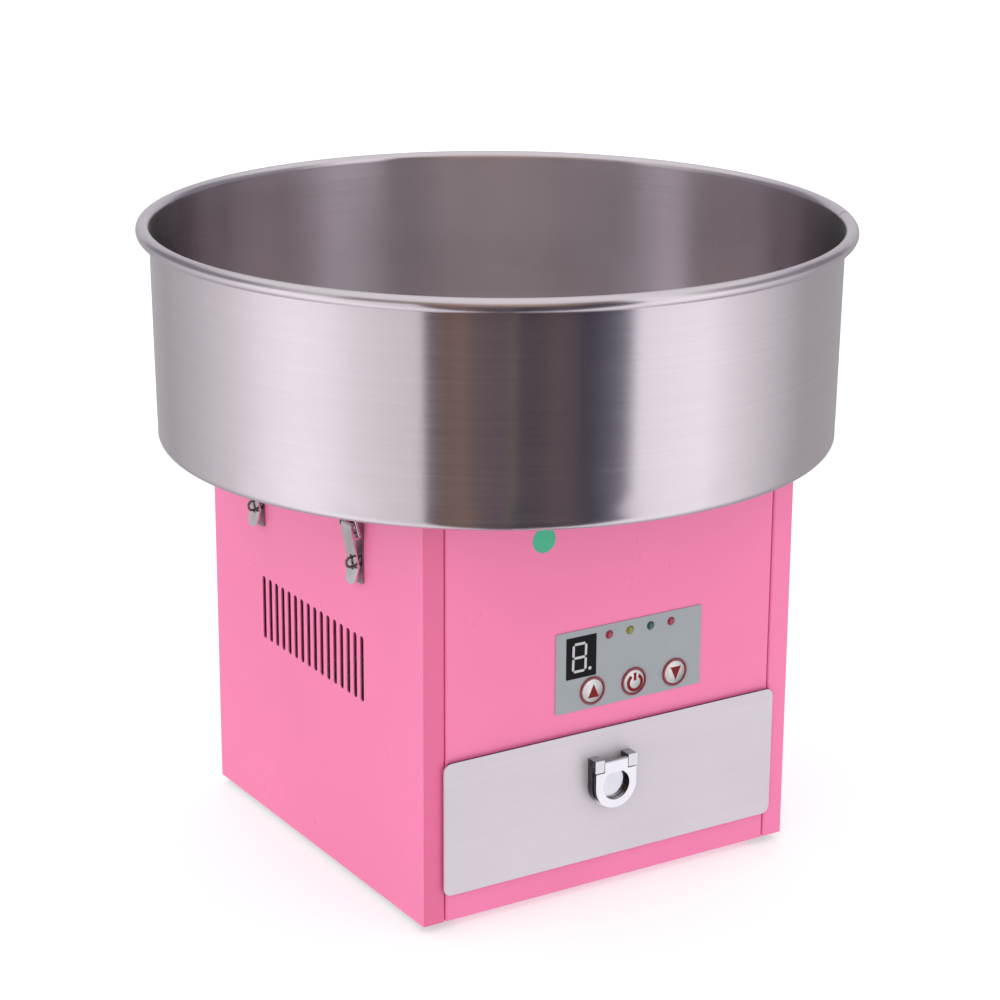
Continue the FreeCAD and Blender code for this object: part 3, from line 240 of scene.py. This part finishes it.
def bowl_steel(name, colour, roughness, anisotropy):
    """Brushed round the bowl; its pattern follows the piece's own UV metres."""
    m = Shader(name)
    uv = m.add("ShaderNodeTexCoord").outputs["UV"]
    lines = m.noise(1.0, 5.0, 0.72, m.stretched((3.5, 1400.0, 1.0), uv))
    dashes = m.noise(1.0, 3.0, 0.6, m.stretched((22.0, 700.0, 1.0), uv))
    broad = m.noise(1.0, 3.0, 0.5, m.stretched((1.2, 120.0, 1.0), uv))
    smudge = m.noise(1.0, 4.0, 0.6, m.stretched((7.0, 9.0, 1.0), uv))
    tone = m.mix(m.spread(lines, 0.0, 1.0, 0.25, 0.75), shade(colour, 0.93), shade(colour, 1.045))
    tone = m.mix(m.spread(broad, 0.0, 0.3), tone, shade(colour, 0.90))
    m.join(tone, m.bsdf.inputs["Base Color"])
    rough = m.math("ADD", m.spread(lines, -0.02, 0.025), m.spread(smudge, roughness * 0.93, roughness * 1.1))
    m.join(m.math("ADD", rough, m.spread(dashes, -0.01, 0.015)), m.bsdf.inputs["Roughness"])
    height = m.math("ADD", lines, m.math("MULTIPLY", dashes, 0.5))
    m.bump(height, 0.08, 0.0002)
    m.set(Metallic=1.0, Anisotropic=anisotropy)
    m.smear_upward()
    return m.material


def pink_paint(name, front=1.0):
    """Satin powder coat: faint orange peel, patchy gloss, lighter edges that are partly rubbed wear and
    partly a painted highlight; a front below 1 paints a darker shade on faces to -Y.
    """
    m = Shader(name)
    colour = srgb(244, 126, 174)
    patches = m.noise(5.0, 4.0)
    base = m.mix(m.spread(patches, 0.0, 1.0), shade(colour, 0.965), shade(colour, 1.03))
    # Lighter pink along the edges: partly rubbed wear, partly a painted highlight.
    scuffs_and_highlight = m.spread(m.noise(160, 3.0), 0.0, 0.55, 0.35, 0.65)
    base = m.mix(m.math("MULTIPLY", m.edge_mask(0.0011), scuffs_and_highlight), base, srgb(255, 190, 214))
    # Painted shade: faces that point to -Y take a darker pink.
    if front < 1.0:
        base = m.mix(m.spread(m.facing("Y"), 1.0, 0.0, -0.95, -0.6), base, shade(srgb(236, 108, 156), front))
    m.join(base, m.bsdf.inputs["Base Color"])
    m.join(m.spread(m.noise(30, 5.0), 0.27, 0.37), m.bsdf.inputs["Roughness"])
    peel = m.math("ADD", m.noise(420, 2.0), m.math("MULTIPLY", m.noise(60, 2.0), 0.6))
    m.bump(peel, 0.05, 0.0004)
    m.set(Specular_IOR_Level=0.45, Coat_Weight=0.15, Coat_Roughness=0.12)
    return m.material


def button_dome_shade():
    """Silver face with painted dome shading: a painted highlight at the upper left fading to painted shade at
    the lower right.
    """
    m = Shader("button_silver")
    place = m.add("ShaderNodeSeparateXYZ")
    m.join(m.add("ShaderNodeTexCoord").outputs["Generated"], place.inputs["Vector"])
    # Painted highlight and shade across the face, by place on the part.
    dome_shade = m.math("SUBTRACT", m.math("ADD", place.outputs["X"], 1.0), place.outputs["Z"])
    tone = m.mix(m.spread(dome_shade, 0.0, 1.0, 0.35, 1.65), srgb(246, 244, 243), srgb(120, 122, 124))
    tone = m.mix(m.spread(m.noise(500, 3.0), 0.0, 0.25), tone, srgb(190, 188, 188))
    m.join(tone, m.bsdf.inputs["Base Color"])
    m.join(m.spread(m.noise(300, 3.0), 0.22, 0.32), m.bsdf.inputs["Roughness"])
    m.bump(m.noise(1800, 2.0), 0.02, 0.0002)
    m.set(Metallic=0.2, Coat_Weight=0.5)
    return m.material


PINK = pink_paint("pink_paint")
# The left panel's paint, with painted shade on its front flange.
PINK_SHADED_FLANGE = pink_paint("pink_flange_shaded", 0.92)
BOWL = bowl_steel("bowl_steel", (0.80, 0.755, 0.79), 0.20, 0.99)
# A near-black strip: painted shade in the rim's slit.
SLIT_SHADE = surface("rim_slit_shade", (0.03, 0.028, 0.03), 0.6, grain=1500)
FLOOR_STEEL = surface("bowl_floor_steel", (0.74, 0.71, 0.73), 0.27, 1.0, grain=500, grain_strength=0.06)
DRAWER = brushed("drawer_steel", (0.75, 0.70, 0.75), 0.50, 0.6, marks=0.6, metallic=0.4)
DRAWER_FRONT = brushed("drawer_front", (0.75, 0.70, 0.75), 0.50, 0.6, marks=0.6, metallic=0.4, shade_top_faces=True)
GALVANISED = surface("galvanised", (0.62, 0.63, 0.65), 0.42, 1.0, grain=260, patch=60, tint=0.16)
SCREW = surface("screw_steel", (0.70, 0.70, 0.71), 0.28, 1.0, grain=1500, edge_wear_and_highlight=(0.35, 0.33, 0.32))
RUBBER = surface("black_rubber", (0.020, 0.020, 0.021), 0.72, grain=1300, grain_strength=0.3, tint=0.25)
# A darker copy of the plated steel: painted shade on the latch bases and staples, with a painted highlight
# along their edges.
PLATED_SHADED = surface("plated_steel_shaded", (0.34, 0.325, 0.33), 0.24, 1.0, grain=700, grain_strength=0.08, patch=90,
                      tint=0.20, edge_wear_and_highlight=(0.90, 0.89, 0.89), edge_band_radius=0.0004)
# Its light edges are a painted highlight.
PLATED = surface("plated_steel", (0.78, 0.75, 0.76), 0.13, 1.0, grain=700, grain_strength=0.05, patch=90,
                 tint=0.12, edge_wear_and_highlight=(0.96, 0.95, 0.95), edge_band_radius=0.0005)
CHROME = casting_with_painted_shade("handle_chrome", (0.84, 0.84, 0.875), 0.10)
OVERLAY = surface("overlay_film", srgb(157, 163, 168), 0.42, grain=2400, grain_strength=0.10, tint=0.02,
                  patch=30)
HANDLE_BASE = casting_with_painted_shade("handle_base", (0.72, 0.74, 0.77), 0.16)
DISPLAY = surface("display_black", (0.0045, 0.0048, 0.0065), 0.34, grain=1800, grain_strength=0.03, tint=0.15,
                  specular=0.14)
SEGMENT = surface("display_segment", srgb(196, 194, 200), 0.45, grain=2500, grain_strength=0.05, tint=0.05,
                  patch=300)
STICKER = surface("sticker_green", srgb(60, 182, 140), 0.38, grain=2200, grain_strength=0.08, tint=0.05,
                  patch=120)
# Its light pink edges are a painted highlight.
BEZEL = surface("bezel_red", srgb(134, 40, 52), 0.24, grain=1500, grain_strength=0.04, tint=0.08, patch=300,
                edge_wear_and_highlight=srgb(206, 140, 145), edge_band_radius=0.0003, coat=0.5)
BUTTON = button_dome_shade()
ICON = surface("icon_red", srgb(126, 10, 12), 0.45, grain=2400, tint=0.08, patch=400, specular=0.25)
BLACK_PLASTIC = surface("black_plastic", (0.022, 0.022, 0.024), 0.45, grain=1600, grain_strength=0.25,
                        tint=0.2)
BOARD = surface("circuit_board", (0.015, 0.10, 0.04), 0.35, grain=800, grain_strength=0.2, tint=0.3, patch=90)
ENAMEL = surface("motor_enamel", (0.028, 0.030, 0.033), 0.34, grain=500, tint=0.15, edge_wear_and_highlight=(0.3, 0.3, 0.31))
GROUND_STEEL = surface("bearing_steel", (0.62, 0.62, 0.64), 0.22, 1.0, grain=900, grain_strength=0.05)
LAMINATION = brushed("laminations", (0.28, 0.27, 0.27), 0.45, 0.4)
CARBON = surface("carbon", (0.02, 0.02, 0.021), 0.50, grain=1500, tint=0.3)
BRASS = surface("slip_brass", (0.72, 0.50, 0.22), 0.24, 1.0, grain=1200, patch=40)
CAST = surface("cast_aluminium", (0.72, 0.72, 0.73), 0.36, 1.0, grain=420, grain_strength=0.25, patch=40)
STRIP = surface("spinner_steel", (0.66, 0.655, 0.65), 0.27, 1.0, grain=800, patch=30, tint=0.12)


def lens(name, colour):
    """An unlit tinted lamp with a clear coat."""
    m = Shader(name)
    m.join(m.mix(m.spread(m.noise(500, 2.0), 0.0, 1.0), shade(colour, 0.85), shade(colour, 1.1)),
           m.bsdf.inputs["Base Color"])
    m.join(m.spread(m.noise(300, 3.0), 0.12, 0.22), m.bsdf.inputs["Roughness"])
    m.bump(m.noise(900, 2.0), 0.03, 0.0002)
    m.set(Coat_Weight=0.8, Coat_Roughness=0.08, Subsurface_Weight=0.15)
    m.bsdf.inputs["Subsurface Radius"].default_value = (0.002, 0.001, 0.001)
    return m.material


LENS_RED = lens("lamp_red", srgb(150, 22, 54))
LENS_YELLOW = lens("lamp_yellow", srgb(134, 130, 40))
LENS_GREEN = lens("lamp_green", srgb(12, 76, 66))

FINISHES = {
    "pink_paint": PINK, "galvanised": GALVANISED, "black_rubber": RUBBER, "screw_steel": SCREW,
    "overlay_grey": OVERLAY, "display_black": DISPLAY, "lamp_red": LENS_RED, "lamp_yellow": LENS_YELLOW,
    "lamp_green": LENS_GREEN, "bezel_red": BEZEL, "button_silver": BUTTON, "circuit_board": BOARD,
    "sticker_green": STICKER, "black_plastic": BLACK_PLASTIC, "plated_steel": PLATED, "motor_shell": ENAMEL,
    "bearing_steel": GROUND_STEEL, "laminations": LAMINATION, "carbon": CARBON, "slip_brass": BRASS,
    "cast_aluminium": CAST, "spinner_steel": STRIP, "bowl_steel": BOWL, "drawer_steel": DRAWER,
    "handle_chrome": CHROME,
}
OWN_FINISHES = {"bowl_floor": FLOOR_STEEL, "handle_base": HANDLE_BASE, "latch_bases": PLATED_SHADED,
                "latch_staples": PLATED_SHADED, "drawer_front": DRAWER_FRONT, "left_side_panel": PINK_SHADED_FLANGE}
for entry in frame["record"]["subparts"]:
    mesh = nodes[entry["node"]].data
    mesh.materials.clear()
    mesh.materials.append(OWN_FINISHES.get(entry["node"], FINISHES[entry["material_slot"]]))


# --------------------------------------------------------------------- pieces
def new_piece(name, mesh, material, body):
    """Links a finished mesh as a piece that rides on a body."""
    mesh.materials.append(material)
    piece = bpy.data.objects.new(name, mesh)
    bpy.context.scene.collection.objects.link(piece)
    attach(piece, body)
    return piece


def finished(mesh, name):
    """Blender mesh data from a bmesh, which is freed."""
    data = bpy.data.meshes.new(name)
    mesh.to_mesh(data)
    mesh.free()
    return data


def lathe(name, outline, steps, wobble):
    """Turns a closed (radius, height) outline about +Z, with UVs in metres; wobble moves each point."""
    mesh = bmesh.new()
    uv = mesh.loops.layers.uv.new("metres")
    rings = []
    for step in range(steps):
        angle = 2 * math.pi * step / steps
        ring = []
        for radius, height in outline:
            radius, height = wobble(angle, radius, height)
            ring.append(mesh.verts.new((radius * math.cos(angle), radius * math.sin(angle), height)))
        rings.append(ring)
    lengths = [0.0]
    for (r0, z0), (r1, z1) in zip(outline, outline[1:] + outline[:1]):
        lengths.append(lengths[-1] + math.hypot(r1 - r0, z1 - z0))
    widest = max(radius for radius, _ in outline)
    count = len(outline)
    for step in range(steps):
        here, there = rings[step], rings[(step + 1) % steps]
        for i in range(count):
            j = (i + 1) % count
            face = mesh.faces.new((here[i], there[i], there[j], here[j]))
            face.smooth = True
            u0, u1 = (2 * math.pi * widest * k / steps for k in (step, step + 1))
            for loop, (u, v) in zip(face.loops, ((u0, lengths[i]), (u1, lengths[i]),
                                                 (u1, lengths[i + 1]), (u0, lengths[i + 1]))):
                loop[uv].uv = (u, v)
    bmesh.ops.recalc_face_normals(mesh, faces=mesh.faces)
    return finished(mesh, name)


def arc(centre, radius, start, end, steps):
    """Points on an arc in the radius-height plane, angles in degrees."""
    points = []
    for k in range(steps + 1):
        angle = math.radians(start + (end - start) * k / steps)
        points.append((centre[0] + radius * math.cos(angle), centre[1] + radius * math.sin(angle)))
    return points


def straight(start, end, steps):
    """Evenly spaced points from start towards end, the end left out."""
    return [(start[0] + (end[0] - start[0]) * k / steps, start[1] + (end[1] - start[1]) * k / steps)
            for k in range(steps)]


WALL_SHEET = 0.8 * MM
WALL_TAPER = 2.0 * MM
WALL_TURN_STEPS = 720
WALL_RISE_STEPS = 40
FOOT_FLANGE = 16.6 * MM
FOOT_CORNER_RADIUS = 6 * MM
FOOT_CORNER_STEPS = 10
RIM_CURL_RADIUS = 5.1 * MM
RIM_CURL_END = -110  # degrees; the sheet's edge is tucked in under the curl
RIM_CURL_STEPS = (30, 34)  # on the curl's inner and outer face
RIM_CLEARANCE = 0.06 * MM  # keeps the slit inside the CAD's height
FOOT_WAVE = 0.10 * MM
FOOT_WAVE_HEIGHT = 12 * MM
FOOT_WAVE_SPREAD = 7 * MM
FOOT_PULLED_IN = 0.12 * MM
WALL_WAVE = 0.05 * MM
SEAM_ANGLE = math.radians(-27)
SEAM_RIDGE = 0.22 * MM
SEAM_RIDGE_SPREAD = math.radians(0.35)
SLIT_HALF_WIDTH = 0.45 * MM
SLIT_LIFT = 0.04 * MM
SLIT_ARC = (-60, 215)  # degrees round the curl
SLIT_STEPS = 40


def bowl_wall():
    """The rolled wall with its foot corner, curled rim and the weld seam."""
    low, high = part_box("bowl_wall")
    sheet, curl, corner = WALL_SHEET, RIM_CURL_RADIUS, FOOT_CORNER_RADIUS
    outer_top = high.x - 2 * curl + sheet
    outer_low = outer_top - WALL_TAPER
    flange = outer_low - FOOT_FLANGE
    curl_centre = (outer_top - sheet + curl, high.z - curl - RIM_CLEARANCE)
    corner_centre = (outer_low - corner, low.z + corner)
    inner_steps, outer_steps = RIM_CURL_STEPS
    outline = [(flange, low.z)]
    outline += arc(corner_centre, corner, -90, 0, FOOT_CORNER_STEPS)
    outline += straight((outer_low, low.z + corner + MM), (outer_top, high.z - curl), WALL_RISE_STEPS)
    outline += arc(curl_centre, curl - sheet, 180, RIM_CURL_END, inner_steps)
    outline += arc(curl_centre, curl, RIM_CURL_END, 180, outer_steps)
    outline += straight((outer_top - sheet, high.z - curl - MM), (outer_low - sheet, low.z + corner),
                        WALL_RISE_STEPS)
    outline += arc(corner_centre, corner - sheet, 0, -90, FOOT_CORNER_STEPS)
    outline += [(flange, low.z + sheet)]

    def wobble(angle, radius, height):
        """Slight hand-rolled waves, strongest near the foot, and the seam's ridge."""
        up = (height - low.z) / (high.z - low.z)
        near_foot = math.exp(-((height - low.z - FOOT_WAVE_HEIGHT) / FOOT_WAVE_SPREAD) ** 2)
        wave = FOOT_WAVE * near_foot * (math.sin(23 * angle) + 0.7 * math.sin(41 * angle + 1.3))
        wave += WALL_WAVE * math.sin(3 * angle + 0.7) * min(1.0, 4 * up * (1 - up))
        offset = (angle - SEAM_ANGLE + math.pi) % (2 * math.pi) - math.pi
        ridge = -SEAM_RIDGE * math.exp(-(offset / SEAM_RIDGE_SPREAD) ** 2)
        inside = radius < outer_top - sheet / 2
        return radius + wave + (ridge if inside and up > 0.05 else 0.0) - FOOT_PULLED_IN * near_foot, height

    piece = new_piece("bowl_wall_smooth", lathe("bowl_wall_smooth", outline, WALL_TURN_STEPS, wobble),
                      BOWL, "bowl")
    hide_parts("bowl_wall")

    # Where the sheet's two ends meet, the curl shows a slit; a thin near-black strip laid on the curl paints
    # its shade.
    around = Vector((-math.sin(SEAM_ANGLE), math.cos(SEAM_ANGLE), 0))
    mesh = bmesh.new()
    edges = []
    for radius, height in arc(curl_centre, curl + SLIT_LIFT, *SLIT_ARC, SLIT_STEPS):
        middle = Vector((radius * math.cos(SEAM_ANGLE), radius * math.sin(SEAM_ANGLE), height))
        edges.append([mesh.verts.new(middle + around * side) for side in (-SLIT_HALF_WIDTH, SLIT_HALF_WIDTH)])
    for (a, b), (c, d) in zip(edges, edges[1:]):
        mesh.faces.new((a, b, d, c))
    new_piece("bowl_rim_slit", finished(mesh, "bowl_rim_slit"), SLIT_SHADE, "bowl")


bowl_wall()


def flat_shape(name, loops, thickness, to_world):
    """Closed outlines given a thickness; each point goes through to_world(x, y, out)."""
    mesh = bmesh.new()
    for loop in loops:
        back = [mesh.verts.new(to_world(x, y, 0.0)) for x, y in loop]
        front = [mesh.verts.new(to_world(x, y, thickness)) for x, y in loop]
        mesh.faces.new(front)
        mesh.faces.new(back[::-1])
        for i in range(len(loop)):
            j = (i + 1) % len(loop)
            mesh.faces.new((back[i], back[j], front[j], front[i]))
    bmesh.ops.recalc_face_normals(mesh, faces=mesh.faces)
    return finished(mesh, name)


DIGIT_HALF_WIDTH = 5.2 * MM
DIGIT_HALF_HEIGHT = 10.2 * MM
DIGIT_BAR = 1.9 * MM
DIGIT_GAP = 0.5 * MM
DIGIT_SLANT = 0.02
DIGIT_LEFT_OF_CENTRE = 1.6 * MM
POINT_RIGHT = 3.65 * MM
POINT_UP = 0.7 * MM
POINT_RADIUS = 1.3 * MM
SEGMENT_THICKNESS = 0.15 * MM


def display_digit():
    """Seven unlit segments and a point on the display's face."""
    low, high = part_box("display_module")
    centre_x = (low.x + high.x) / 2 - DIGIT_LEFT_OF_CENTRE
    centre_z = (low.z + high.z) / 2
    half_width, half_height = DIGIT_HALF_WIDTH, DIGIT_HALF_HEIGHT

    def bar_between(x0, z0, x1, z1):
        """A segment with pointed ends from one centre-line point to another."""
        along = Vector((x1 - x0, z1 - z0)).normalized()
        across = Vector((-along.y, along.x)) * (DIGIT_BAR / 2)
        start, end = Vector((x0, z0)) + along * DIGIT_GAP, Vector((x1, z1)) - along * DIGIT_GAP
        tip = along * (DIGIT_BAR / 2) * 0.8
        points = (start, start + tip + across, end - tip + across,
                  end, end - tip - across, start + tip - across)
        return [(p.x + p.y * DIGIT_SLANT, p.y) for p in points]

    loops = [bar_between(-half_width, z, half_width, z) for z in (half_height, 0, -half_height)]
    for x in (-half_width, half_width):
        loops.append(bar_between(x, 0, x, half_height))
        loops.append(bar_between(x, -half_height, x, 0))
    loops.append([(half_width + POINT_RIGHT + POINT_RADIUS * math.cos(a),
                   -half_height + POINT_UP + POINT_RADIUS * math.sin(a))
                  for a in (2 * math.pi * k / 24 for k in range(24))])
    mesh = flat_shape("display_digit", loops, SEGMENT_THICKNESS,
                      lambda x, z, out: (centre_x + x, low.y - out, centre_z + z))
    new_piece("display_digit", mesh, SEGMENT, "cabinet")


display_digit()


def ring_sector(centre, inner, outer, start, end, steps=40):
    """A closed outline of part of a ring, angles in degrees."""
    angles = [math.radians(start + (end - start) * k / steps) for k in range(steps + 1)]

    def along(radius, turns):
        return [(centre[0] + radius * math.cos(a), centre[1] + radius * math.sin(a)) for a in turns]

    return along(outer, angles) + along(inner, angles[::-1])


ICON_THICKNESS = 0.12 * MM
TRIANGLE_HALF_WIDTH = 4.5 * MM
TRIANGLE_FOOT = -4.6 * MM
TRIANGLE_TIP = 5.4 * MM
POWER_CENTRE = (0.0, -0.5 * MM)
POWER_RADII = (4.45 * MM, 6.85 * MM)
POWER_ARC = (122, 418)  # degrees; open at the top, where the bar stands
POWER_BAR_HALF_WIDTH = 1.1 * MM
POWER_BAR_ENDS = (1.1 * MM, 6.8 * MM)


def button_icons():
    """The printed marks on the three buttons: more, power and less."""
    triangle = [(-TRIANGLE_HALF_WIDTH, TRIANGLE_FOOT), (TRIANGLE_HALF_WIDTH, TRIANGLE_FOOT),
                (0.0, TRIANGLE_TIP)]
    power = ring_sector(POWER_CENTRE, *POWER_RADII, *POWER_ARC)
    side, (foot, top) = POWER_BAR_HALF_WIDTH, POWER_BAR_ENDS
    bar = [(-side, foot), (side, foot), (side, top), (-side, top)]
    marks = {
        "button_up": [triangle],
        "button_power": [power, bar],
        "button_down": [[(x, -z) for x, z in reversed(triangle)]],
    }
    for name, loops in marks.items():
        low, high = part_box(name)
        centre_x, centre_z = (low.x + high.x) / 2, (low.z + high.z) / 2
        mesh = flat_shape(f"{name}_icon", loops, ICON_THICKNESS,
                          lambda x, z, out: (centre_x + x, low.y - out, centre_z + z))
        new_piece(f"{name}_icon", mesh, ICON, name)


button_icons()


# ---------------------------------------------------------------------- stage
# Light that reflections find, by degrees clockwise from the camera's side: below the horizon,
# above it, and overhead. A dark area behind the camera gives the bowl its dark band.
VIEW_TURN = 32.0
LOWER_RING = (
    (-179, 0.50), (-139, 0.43), (-118, 0.57), (-97, 0.78), (-80, 1.06), (-68, 1.13), (-56, 1.05),
    (-47, 0.92), (-36, 0.82), (-24, 0.76),
    (-22.5, (0.125, 0.10, 0.125)), (-17, (0.14, 0.095, 0.082)), (-10, (0.19, 0.12, 0.10)),
    (-8.5, (0.12, 0.085, 0.09)), (-3, (0.10, 0.078, 0.088)), (3, (0.085, 0.065, 0.09)),
    (6, (0.12, 0.115, 0.085)), (7.5, (0.040, 0.038, 0.06)), (13, (0.050, 0.046, 0.062)),
    (15, (0.045, 0.045, 0.05)), (18, (0.085, 0.062, 0.078)), (26, (0.078, 0.058, 0.072)),
    (28, (0.034, 0.032, 0.056)), (32, (0.040, 0.035, 0.06)), (35, (0.075, 0.068, 0.095)),
    (44, (0.10, 0.098, 0.14)), (46, 0.90), (60, 1.02), (72, 1.12), (92, 0.80), (120, 0.42), (179, 0.40),
)
UPPER_RING = (
    (-179, (0.60, 0.58, 0.62)), (-150, (0.52, 0.50, 0.54)), (-138, (0.20, 0.19, 0.23)),
    (-88, (0.20, 0.18, 0.21)), (-74, 0.40), (-54, 0.55),
    (-46, (0.22, 0.18, 0.18)), (-24, (0.24, 0.165, 0.13)), (-6, (0.40, 0.27, 0.21)),
    (16, (0.38, 0.255, 0.20)), (30, (0.15, 0.11, 0.095)), (38, (0.16, 0.13, 0.13)),
    (44, 0.95), (58, 0.95), (68, 0.55), (80, (0.26, 0.24, 0.27)), (138, (0.20, 0.19, 0.23)),
    (150, (0.52, 0.50, 0.54)), (179, (0.60, 0.58, 0.62)),
)
TOP_LIGHT = (0.80, 0.78, 0.80)
HORIZON_BLEND = (-0.05, 0.12)  # a direction's height, from -1 to 1, where the rings change over
OVERHEAD_BLEND = (0.45, 0.75)
SOFT_LIGHT = (0.92, 1.24)  # on matt surfaces, from the front right to the rear left
GREY_TINT = 0.955  # green's share in the rings' greys
WHITE = (1.0, 1.0, 1.0)
FLOOR_SIZE = 14
FLOOR_TONES = ((0.67, 0.67, 0.67), (0.69, 0.69, 0.69))
FLOOR_GLOW = 0.45


def pale_floor():
    """A plain pale floor that reflections leave out."""
    bpy.ops.mesh.primitive_plane_add(size=FLOOR_SIZE, location=(0, 0, 0))
    floor = bpy.context.object
    floor.name = "floor"
    m = Shader("floor")
    m.join(m.mix(m.spread(m.noise(3.0, 3.0), 0.0, 1.0), *FLOOR_TONES), m.bsdf.inputs["Base Color"])
    m.set(Roughness=0.9, Emission_Strength=FLOOR_GLOW)
    m.feed(m.bsdf.inputs["Emission Color"], WHITE)
    floor.data.materials.append(m.material)
    floor.visible_glossy = False


def studio_light():
    """A white backdrop, soft light all round and the rings that reflections see."""
    scene = bpy.context.scene
    scene.view_settings.view_transform = "Standard"
    scene.world = bpy.data.worlds.new("studio")
    scene.world.use_nodes = True
    sky = Nodes(scene.world.node_tree)
    sky.tree.nodes.clear()

    direction = sky.add("ShaderNodeSeparateXYZ")
    sky.join(sky.add("ShaderNodeTexCoord").outputs["Generated"], direction.inputs["Vector"])
    x, y, z = (direction.outputs[axis] for axis in "XYZ")
    turn = sky.math("ARCTAN2", x, sky.math("MULTIPLY", y, -1.0))
    turn = sky.math("ADD", turn, math.radians(VIEW_TURN))
    around = sky.math("FRACT", sky.math("ADD", sky.math("DIVIDE", turn, 2 * math.pi), 0.5))

    def ring(stops):
        """The colour that a ring has in each direction."""
        node = sky.add("ShaderNodeValToRGB")
        elements = node.color_ramp.elements
        while len(elements) > 1:
            elements.remove(elements[0])
        for index, (degrees, colour) in enumerate(stops):
            place = (degrees + 180) / 360
            if index == 0:
                elements[0].position = place
                element = elements[0]
            else:
                element = elements.new(place)
            if isinstance(colour, (int, float)):
                colour = (colour, colour * GREY_TINT, colour)
            element.color = (*colour, 1.0)
        sky.join(around, node.inputs["Fac"])
        return node.outputs["Color"]

    def above(heights):
        """0 in directions below the first height, 1 above the second."""
        return sky.spread(z, 0.0, 1.0, *heights, interpolation_type="SMOOTHSTEP")

    def background(colour, strength=1.0):
        node = sky.add("ShaderNodeBackground")
        sky.feed(node.inputs["Color"], colour)
        sky.feed(node.inputs["Strength"], strength)
        return node.outputs["Background"]

    def either(rays, others, these):
        """One background for the rays of one kind, and another for the rest."""
        node = sky.add("ShaderNodeMixShader")
        for socket, source in zip(node.inputs, (rays, others, these)):
            sky.join(source, socket)
        return node.outputs["Shader"]

    mirrored = sky.mix(above(HORIZON_BLEND), ring(LOWER_RING), ring(UPPER_RING))
    mirrored = sky.mix(above(OVERHEAD_BLEND), mirrored, TOP_LIGHT)
    side = sky.math("SUBTRACT", sky.math("MULTIPLY", y, 0.9), x)
    soft = sky.spread(side, *SOFT_LIGHT, -1.0, 1.0)
    paths = sky.add("ShaderNodeLightPath").outputs
    light = either(paths["Is Glossy Ray"], background(WHITE, soft), background(mirrored))
    light = either(paths["Is Camera Ray"], light, background(WHITE))
    sky.join(light, sky.add("ShaderNodeOutputWorld").inputs["Surface"])


pale_floor()
studio_light()


CAMERA_TURN = (-32.24, 17.655, 0.442)  # azimuth, elevation and roll in degrees
CAMERA_TARGET = Vector((20.88, 0, 247.3)) * MM
CAMERA_DISTANCE = 2.0866
CAMERA_LENS = 100.08
CAMERA_SHIFT_X = -0.02


def camera():
    """A long lens from the front left, a little above."""
    azimuth, elevation, roll = (math.radians(v) for v in CAMERA_TURN)
    back = Vector((math.sin(azimuth) * math.cos(elevation), -math.cos(azimuth) * math.cos(elevation),
                   math.sin(elevation)))
    data = bpy.data.cameras.new("camera")
    data.lens = CAMERA_LENS
    data.sensor_width = 36
    data.shift_x = CAMERA_SHIFT_X
    data.clip_start = 0.05
    data.clip_end = 60
    item = bpy.data.objects.new("camera", data)
    item.location = CAMERA_TARGET + back * CAMERA_DISTANCE
    turn = (-back).to_track_quat("-Z", "Y")
    item.rotation_mode = "QUATERNION"
    item.rotation_quaternion = turn @ Quaternion((0, 0, 1), roll)
    bpy.context.scene.collection.objects.link(item)
    bpy.context.scene.camera = item


camera()
